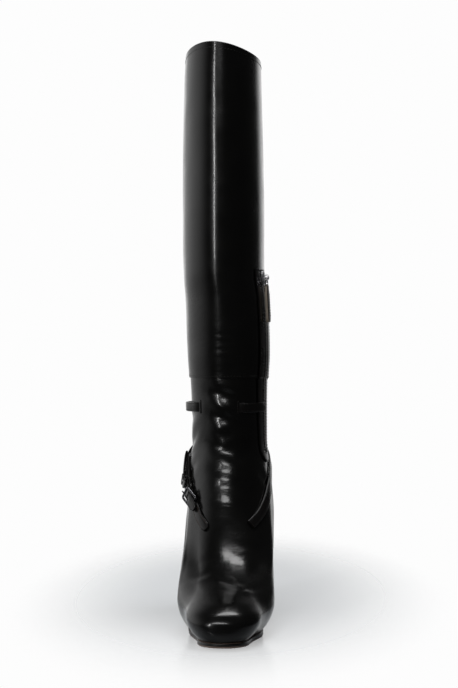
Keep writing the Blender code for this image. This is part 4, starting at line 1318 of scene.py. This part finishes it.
# %% Zip sizes and routes
ZIP_TOP = 0.316
ZIP_BOTTOM = 0.158
ZIP_TOP_ALONG = -0.175
ZIP_BOTTOM_ALONG = -0.125
ZIP_LIFT = 0.0005
CHAIN_WIDTH = 0.0056
CHAIN_THICKNESS = 0.0012
FACING_WIDTH = 0.0092
FACING_THICKNESS = 0.0009
SLIDER_LENGTH = 0.0130
SLIDER_WIDTH = 0.0084
SLIDER_THICKNESS = 0.0024


def zip_y(z):
    """The zip's place along the boot at a height."""
    share = (z - ZIP_BOTTOM) / (ZIP_TOP - ZIP_BOTTOM)
    return mix(ZIP_BOTTOM_ALONG, ZIP_TOP_ALONG, share) * SHAFT_DEPTH


def chain_rows(lift):
    """Places up the middle of the zip."""
    heights = [mix(ZIP_BOTTOM, ZIP_TOP, k / 8.0) for k in range(9)]
    return [(*locate(1, zip_y(z), z), lift) for z in heights]


def facing_rows():
    """Places down the front of the zip, round its lower end and up its back."""
    reach = CHAIN_WIDTH / 2.0 + CLEARANCE * 2.0 + FACING_WIDTH / 2.0
    top = ZIP_TOP + SLIDER_LENGTH
    spots = []
    for k in range(9):
        z = mix(top, ZIP_BOTTOM, k / 8.0)
        spots.append((zip_y(z) - reach, z))
    for k in range(1, 6):
        angle = pi * k / 6.0
        spots.append((zip_y(ZIP_BOTTOM) - reach * cos(angle), ZIP_BOTTOM - reach * sin(angle)))
    for k in range(9):
        z = mix(ZIP_BOTTOM, top, k / 8.0)
        spots.append((zip_y(z) + reach, z))
    return [(*locate(1, y, z), ZIP_LIFT) for y, z in spots]


facing_route = trace(facing_rows(), STRAP_STEP)
chain_route = trace(chain_rows(ZIP_LIFT), STRAP_STEP)
print("zip", round(len(chain_route) * STRAP_STEP / MM), "mm long")

# %% The facing and the tape
strap("zip_leather_facing", facing_route, FACING_WIDTH, FACING_THICKNESS, ("zip_facing",),
      FLAT_PROFILE, ())
TAPE_WIDTH = CHAIN_WIDTH * 0.98
TAPE_THICKNESS = CHAIN_THICKNESS * 0.45
strap("zip_woven_tape", chain_route, TAPE_WIDTH, TAPE_THICKNESS, ("zip_chain",), FLAT_PROFILE,
      (), finish=zip_tape, slot="zip_metal")

# %% The teeth
TOOTH_PITCH = 0.00125
TOOTH_LENGTH = 0.0036
TOOTH_SIZE = 0.00088
TOOTH_SHIFT = 0.0007


def build_teeth():
    """Two meshed rows of small bars as one mesh."""
    points = []
    faces = []
    box = ((0, 3, 2, 1), (4, 5, 6, 7), (0, 1, 5, 4), (1, 2, 6, 5), (2, 3, 7, 6), (3, 0, 4, 7))
    line = beside_route(chain_route, 0.0, CLEARANCE + CHAIN_THICKNESS * 0.68)
    for number, (centre, along, up) in enumerate(walk(line, TOOTH_PITCH)):
        side = along.cross(up).normalized()
        centre = centre + side * TOOTH_SHIFT * (1 if number % 2 else -1)
        start = len(points)
        for height, spread in ((-0.5, 1.0), (0.5, 0.82)):
            for a, b in ((-1, -1), (1, -1), (1, 1), (-1, 1)):
                points.append(centre + side * a * spread * TOOTH_LENGTH / 2.0
                              + along * b * spread * TOOTH_SIZE / 2.0
                              + up * height * TOOTH_SIZE)
        faces += [tuple(start + i for i in face) for face in box]
    return hand_over(add_piece("zip_teeth", points, faces, (nickel,)), "boot", "zip_metal")


build_teeth()

# %% [markdown]
# ## Slider and pull
# The slider is a small chrome casting: a domed body that narrows downward, with a
# bridge on top. A wire link hangs in the bridge and carries a leather tab, folded
# round the link and sewn, whose cut edges show pale. Link and tab swing about the
# bridge, so they ride on the pull's own body.

# %% The slider's place
SLIDER_NOSE = 0.68           # width of its lower end, as a share
SLIDER_SQUARE = 0.62         # 1 is an ellipse in plan, and less is squarer
SLIDER_PLACE = 0.35
BRIDGE_WIRE = 0.0008
BRIDGE_SPREAD = 0.0004
BRIDGE_SUNK = 0.0012
LINK_WIRE = 0.0007
LINK_LENGTH = 0.0085
LINK_WIDTH = 0.0052
LINK_CORNER = 0.0012
LINK_RISE = 0.0009
PULL_LENGTH = 0.033
PULL_WIDTH = 0.0075
PULL_THICKNESS = 0.0028
PULL_SLANT = 0.045


def slider_frame():
    """The slider's place on the chain: point, outward, down and forward directions."""
    z = ZIP_TOP + SLIDER_LENGTH * SLIDER_PLACE
    level, turn = locate(1, zip_y(z), z)
    point, normal, upward, _ = form_frame(level, turn)
    down = (-upward + normal * upward.dot(normal)).normalized()
    forward = down.cross(normal).normalized()
    height = LAP_STEP + ZIP_LIFT + CHAIN_THICKNESS + CLEARANCE * 2.0
    return point + normal * height, normal, down, forward


SLIDER_AT, OUTWARD, DOWN, FORWARD = slider_frame()
PIVOT = SLIDER_AT + OUTWARD * (SLIDER_THICKNESS + LINK_WIRE + LINK_RISE)
print("pull swings at", [round(value / MM, 1) for value in PIVOT + BASE], "mm")

# %% The slider's body and bridge
SLIDER_ROWS = (          # height share, spread share: a dome over a straight skirt
    (0.00, 0.94), (0.10, 1.00), (0.45, 1.00), (0.72, 0.95), (0.90, 0.82), (1.00, 0.60),
)


def build_slider():
    """A domed body, narrower at its lower end, with a bridge on top."""
    loops = []
    for height, spread in SLIDER_ROWS:
        loop = []
        for k in range(40):
            angle = tau * k / 40
            x = abs(cos(angle)) ** SLIDER_SQUARE * (1 if cos(angle) > 0 else -1)
            y = abs(sin(angle)) ** SLIDER_SQUARE * (1 if sin(angle) > 0 else -1)
            wide = mix(1.0, SLIDER_NOSE, (y + 1.0) / 2.0)
            loop.append(SLIDER_AT + FORWARD * x * wide * spread * SLIDER_WIDTH / 2.0
                        + DOWN * y * spread * SLIDER_LENGTH / 2.0
                        + OUTWARD * height * SLIDER_THICKNESS)
        loops.append(loop)
    body = loft("slider_body", loops, (satin_chrome,), sharp=1.2)
    reach = LINK_WIRE + CLEARANCE * 2.0 + BRIDGE_WIRE
    arch = []
    for k in range(17):
        angle = pi * k / 16.0
        arch.append(PIVOT - DOWN * cos(angle) * (reach + BRIDGE_SPREAD)
                    + OUTWARD * sin(angle) * reach)
    arch = [arch[0] - OUTWARD * BRIDGE_SUNK] + arch + [arch[-1] - OUTWARD * BRIDGE_SUNK]
    hand_over(body, "boot", "chrome", "zip_slider")
    hand_over(tube("slider_arch", arch, BRIDGE_WIRE, satin_chrome), "boot", "chrome")


build_slider()

# %% The link and the leather tab
HANG = Vector((PULL_SLANT, 0.0, -1.0)).normalized()
HANG = (HANG - FORWARD * HANG.dot(FORWARD)).normalized()
TAB_OUT = FORWARD.cross(HANG).normalized()
TAB_OUT = TAB_OUT if TAB_OUT.x > 0.0 else -TAB_OUT
TAB_ROWS = (             # down share, width share, thickness share
    (-0.085, 0.50, 0.55), (-0.075, 0.58, 0.85), (-0.04, 0.64, 1.05), (0.02, 0.66, 1.00),
    (0.08, 0.80, 0.98), (0.14, 0.95, 1.00), (0.30, 1.00, 1.00), (0.50, 1.00, 1.00),
    (0.70, 1.00, 1.00), (0.85, 1.00, 1.00), (0.92, 0.94, 0.99), (0.965, 0.80, 0.96),
    (0.99, 0.62, 0.92), (1.00, 0.40, 0.86),
)
TAB_SECTION = ((1.00, 0.00), (1.00, 0.62), (0.96, 0.88), (0.86, 1.00), (0.76, 0.94),
               (0.66, 1.00), (0.00, 1.02))
EDGE_SHARE = 0.95


def tab_section():
    """The tab's section all round: flat faces, a crease line and cut edges."""
    upper_half = list(TAB_SECTION)
    left = [(-a, b) for a, b in upper_half[-2::-1]]
    top = upper_half + left
    return top + [(a, -b) for a, b in top[-2:0:-1]]


def build_pull():
    """The wire link and the leather tab that it carries."""
    link = rounded_loop(PIVOT + HANG * (LINK_LENGTH / 2.0), FORWARD, HANG, LINK_WIDTH,
                        LINK_LENGTH, LINK_CORNER)
    hand_over(tube("pull_wire", link, LINK_WIRE, chrome, cyclic=True), "zip_pull", "chrome",
              "pull_link")
    top = PIVOT + HANG * (LINK_LENGTH + LINK_WIRE + CLEARANCE)
    section = tab_section()
    loops = []
    for down, wide, thick in TAB_ROWS:
        base = top + HANG * PULL_LENGTH * down
        loops.append([base + FORWARD * a * wide * PULL_WIDTH / 2.0
                      + TAB_OUT * b * thick * PULL_THICKNESS / 2.0 for a, b in section])
    def on_edge(face):
        return int(all(abs(section[k % len(section)][0]) > EDGE_SHARE for k in face[:2]))

    tab = loft("pull_leather", loops, (strap_calf, tab_edge), pick=on_edge, ends=1)
    hand_over(tab, "zip_pull", "strap_leather", "pull_tab")
    lines = []
    for side in (-1, 1):
        for face in (-1, 1):
            lines.append([(top + HANG * PULL_LENGTH * share
                           + FORWARD * side * 0.38 * PULL_WIDTH
                           + TAB_OUT * face * (PULL_THICKNESS / 2.0 + THREAD * 0.4),
                           TAB_OUT * face) for share in (0.16, 0.4, 0.6, 0.9)])
    stitch_seam("pull_stitches", lines, black_thread, "strap_leather", "zip_pull", 0.0016)


build_pull()

# %% [markdown]
# ## Sewing
# The seams come last, because they lie on everything else: one row above the lap
# seam, one round the collar, two along the facing and one along each strap's edge.


# %% Stitch every seam
SEAM_PLACES = 180        # places round the leg along a seam


def ring_line(level, out):
    """A stitch line right round the leather at one level."""
    line = []
    for k in range(SEAM_PLACES + 1):
        turn = k / SEAM_PLACES
        _, normal, _, _ = form_frame(level, turn)
        line.append((skin(level, turn, out), normal))
    return line


def strap_lines(route, width, thickness, over=0.0):
    """Stitch lines along both edges of a strap."""
    inside = route[2:-2]
    height = over + CLEARANCE + thickness * 0.93 + THREAD * 0.5
    return [beside_route(inside, side * 0.345 * width, height) for side in (-1, 1)]


LAP_ROW = 0.0024
COLLAR_ROW = 0.0045
SHAFT_STEP = (TOP_HEIGHT - ANKLE_HEIGHT) * 0.065
stitch_seam("lap_stitches", [ring_line(SEAM_LEVEL + LAP_ROW / SHAFT_STEP, THREAD * 0.4)],
            black_thread, "black_calf")
stitch_seam("collar_stitches", [ring_line(TOP_LEVEL - COLLAR_ROW / SHAFT_STEP, THREAD * 0.4)],
            black_thread, "black_calf")
facing_height = CLEARANCE + FACING_THICKNESS + THREAD * 0.4
stitch_seam("facing_stitches",
            [beside_route(facing_route, side * 0.36 * FACING_WIDTH, facing_height)
             for side in (-1, 1)], black_thread, "strap_leather")
strap_seams = (strap_lines(harness_route, HARNESS_WIDTH, STRAP_THICKNESS)
               + strap_lines(around_route, ANKLE_STRAP_WIDTH, STRAP_THICKNESS)
               + strap_lines(tip_route, ANKLE_STRAP_WIDTH, STRAP_THICKNESS)
               + strap_lines(doubled, DOUBLING_WIDTH, DOUBLING_THICKNESS,
                             STRAP_THICKNESS + CLEARANCE))
stitch_seam("strap_stitches", strap_seams, black_thread, "strap_leather")
stitch_seam("billet_stitches", strap_lines(billet_route, HARNESS_WIDTH, STRAP_THICKNESS),
            brown_thread, "strap_leather")

# %% [markdown]
# ## Floor, light and camera
# Black glossy leather is mostly its reflections, so the light is arranged for them:
# a tall narrow strip in front to the left draws the thin line down the shaft, an oval
# panel high in front lights the folds of the ankle, one overhead marks the instep and
# the toe, a soft glow at the left greys the outer side, and a pale surround behind the
# boot rims both edges. The floor is a pale glossy sheet that fades out into the white
# behind it.

# %% The floor
FLOOR_RADIUS = 2.4
SHEET_HALF_WIDTH = 0.22      # the pale sheet under the boot, in metres
SHEET_HALF_DEPTH = 0.48
SHEET_BACK = 0.20            # its middle lies behind the boot's
SHEET_SOLID = 0.30           # share of its reach where it starts to fade


def build_floor():
    """A pale glossy disc that fades out at its rim."""
    mesh = bpy.data.meshes.new("studio_floor")
    ring = [(FLOOR_RADIUS * cos(tau * k / 96), FLOOR_RADIUS * sin(tau * k / 96), 0.0)
            for k in range(96)]
    mesh.from_pydata(ring, [], [tuple(range(96))])
    floor = bpy.data.objects.new("studio_floor", mesh)
    bpy.context.scene.collection.objects.link(floor)
    made, shader, place = new_material("pale glossy floor", Base_Color=tint("#eff5fa"),
                                       Roughness=0.22, IOR=1.4)
    share = add_node(made, "ShaderNodeMapping",
                     {"Location": (0.0, -SHEET_BACK / SHEET_HALF_DEPTH, 0.0),
                      "Scale": (1.0 / SHEET_HALF_WIDTH, 1.0 / SHEET_HALF_DEPTH, 1.0)},
                     {"Vector": place})
    distance = add_node(made, "ShaderNodeVectorMath", {"operation": "LENGTH"},
                        {0: share.outputs["Vector"]})
    edge = add_node(made, "ShaderNodeMapRange",
                    {"From Min": SHEET_SOLID, "From Max": 1.05, "To Min": 1.0,
                     "To Max": 0.0, "interpolation_type": "SMOOTHSTEP"},
                    {"Value": distance.outputs["Value"]})
    feed(made, shader, Alpha=edge.outputs["Result"])
    mesh.materials.append(made)


build_floor()


# %% The lights
def softbox(name, place, size, power, aim, shape="RECTANGLE"):
    """A light panel at a place, turned to a point."""
    data = bpy.data.lights.new(name, "AREA")
    data.shape = shape
    data.size, data.size_y = size
    data.energy = power
    lamp = bpy.data.objects.new(name, data)
    bpy.context.scene.collection.objects.link(lamp)
    lamp.location = place
    lamp.rotation_euler = (Vector(aim) - Vector(place)).to_track_quat("-Z", "Y").to_euler()
    lamp.visible_camera = False
    return lamp


softbox("strip", (-0.86, -1.31, 0.60), (0.05, 0.66), 4.9, (0.0, 0.0, 0.42))
softbox("front_top", (-0.25, -1.34, 1.12), (0.80, 0.24), 4.6, (0.0, -0.05, 0.12), "ELLIPSE")
softbox("overhead", (0.16, 0.12, 1.75), (0.42, 1.15), 9.0, (0.0, 0.02, 0.10), "ELLIPSE")


# %% The surround
GLOW = 0.74          # the soft panel at the left, as a share of full white
LOW_GLOW = 0.50      # what is left of panel and backdrop near the floor
BACKDROP = 1.40      # the backdrop, as the leather sees it
DARK = 0.03          # the room
# Where each ramp starts and where it is full, along one part of a direction.
PANEL_X = (-0.05, -0.60)
PANEL_Y = (-0.58, 0.25)
PANEL_STEEP = (0.85, 0.30)
PANEL_Z = (-0.14, 0.10)
BACKDROP_Y = (0.76, 0.96)
BACKDROP_Z = (-0.05, 0.03)


def world_ramp(world, source, low, high, least=0.0):
    """A soft step of one part of a direction, from the least at low to 1 at high."""
    return add_node(world, "ShaderNodeMapRange",
                    {"From Min": low, "From Max": high, "To Min": least,
                     "interpolation_type": "SMOOTHSTEP"}, {"Value": source}).outputs["Result"]


def world_sum(world, operation, first, second):
    """One sum of two sources, or of a source and a number."""
    node = add_node(world, "ShaderNodeMath", {"operation": operation})
    for socket, value in zip(node.inputs, (first, second)):
        if isinstance(value, float):
            socket.default_value = value
        else:
            world.node_tree.links.new(value, socket)
    return node.outputs["Value"]


def product(world, *sources):
    """The product of some sources and numbers."""
    return functools.reduce(lambda a, b: world_sum(world, "MULTIPLY", a, b), sources)


def build_surround():
    """White for the camera; a dark room with a soft glow at the left for the leather."""
    world = bpy.data.worlds.new("surround")
    bpy.context.scene.world = world
    world.use_nodes = True
    world.node_tree.nodes.clear()
    place = add_node(world, "ShaderNodeTexCoord").outputs["Generated"]
    parts = add_node(world, "ShaderNodeSeparateXYZ", None, {0: place}).outputs
    leftward = world_ramp(world, parts["X"], *PANEL_X)
    sideways = world_ramp(world, parts["Y"], *PANEL_Y)
    level = world_ramp(world, world_sum(world, "ABSOLUTE", parts["Z"], 0.0), *PANEL_STEEP)
    shade = world_ramp(world, parts["Z"], *PANEL_Z, LOW_GLOW)
    glow = product(world, leftward, sideways, level, shade, GLOW)
    behind = world_ramp(world, parts["Y"], *BACKDROP_Y)
    lit = world_ramp(world, parts["Z"], *BACKDROP_Z, LOW_GLOW)
    white = product(world, behind, BACKDROP, lit)
    pale = world_sum(world, "MAXIMUM", glow, white)
    around = add_node(world, "ShaderNodeBackground", None,
                      {"Strength": world_sum(world, "ADD", pale, DARK)})
    seen = add_node(world, "ShaderNodeBackground", {"Color": tint("#fdfdfd")})
    ray = add_node(world, "ShaderNodeLightPath")
    blend = add_node(world, "ShaderNodeMixShader", None,
                     {0: ray.outputs["Is Camera Ray"], 1: around.outputs[0],
                      2: seen.outputs[0]})
    add_node(world, "ShaderNodeOutputWorld", None, {0: blend.outputs[0]})


build_surround()

# %% The camera
PICTURE_HEIGHT = 688                     # pixels
FOCAL = 1556                             # pixels, from the boot's height at its distance
SENSOR = 36.0                            # mm, along the picture's height
DISTANCE = 1.5                           # from the lens to the ankle's axis
ASIDE = 0.0483                           # the lens stands between the pair's two boots
EYE_HEIGHT = 0.262
LOWERED = 4.0                            # pixels by which the frame is lowered


def build_camera():
    """The photo's viewpoint, turned a little so that the one boot is in the middle."""
    data = bpy.data.cameras.new("camera")
    data.sensor_fit = "VERTICAL"
    data.sensor_height = SENSOR
    data.lens = FOCAL * SENSOR / PICTURE_HEIGHT
    data.shift_y = -LOWERED / PICTURE_HEIGHT
    camera = bpy.data.objects.new("camera", data)
    bpy.context.scene.collection.objects.link(camera)
    camera.location = (BASE.x + ASIDE, BASE.y - DISTANCE, EYE_HEIGHT)
    camera.rotation_euler = (pi / 2.0, 0.0, atan2(ASIDE, DISTANCE))
    bpy.context.scene.camera = camera


build_camera()
bpy.context.scene.view_settings.view_transform = "Standard"
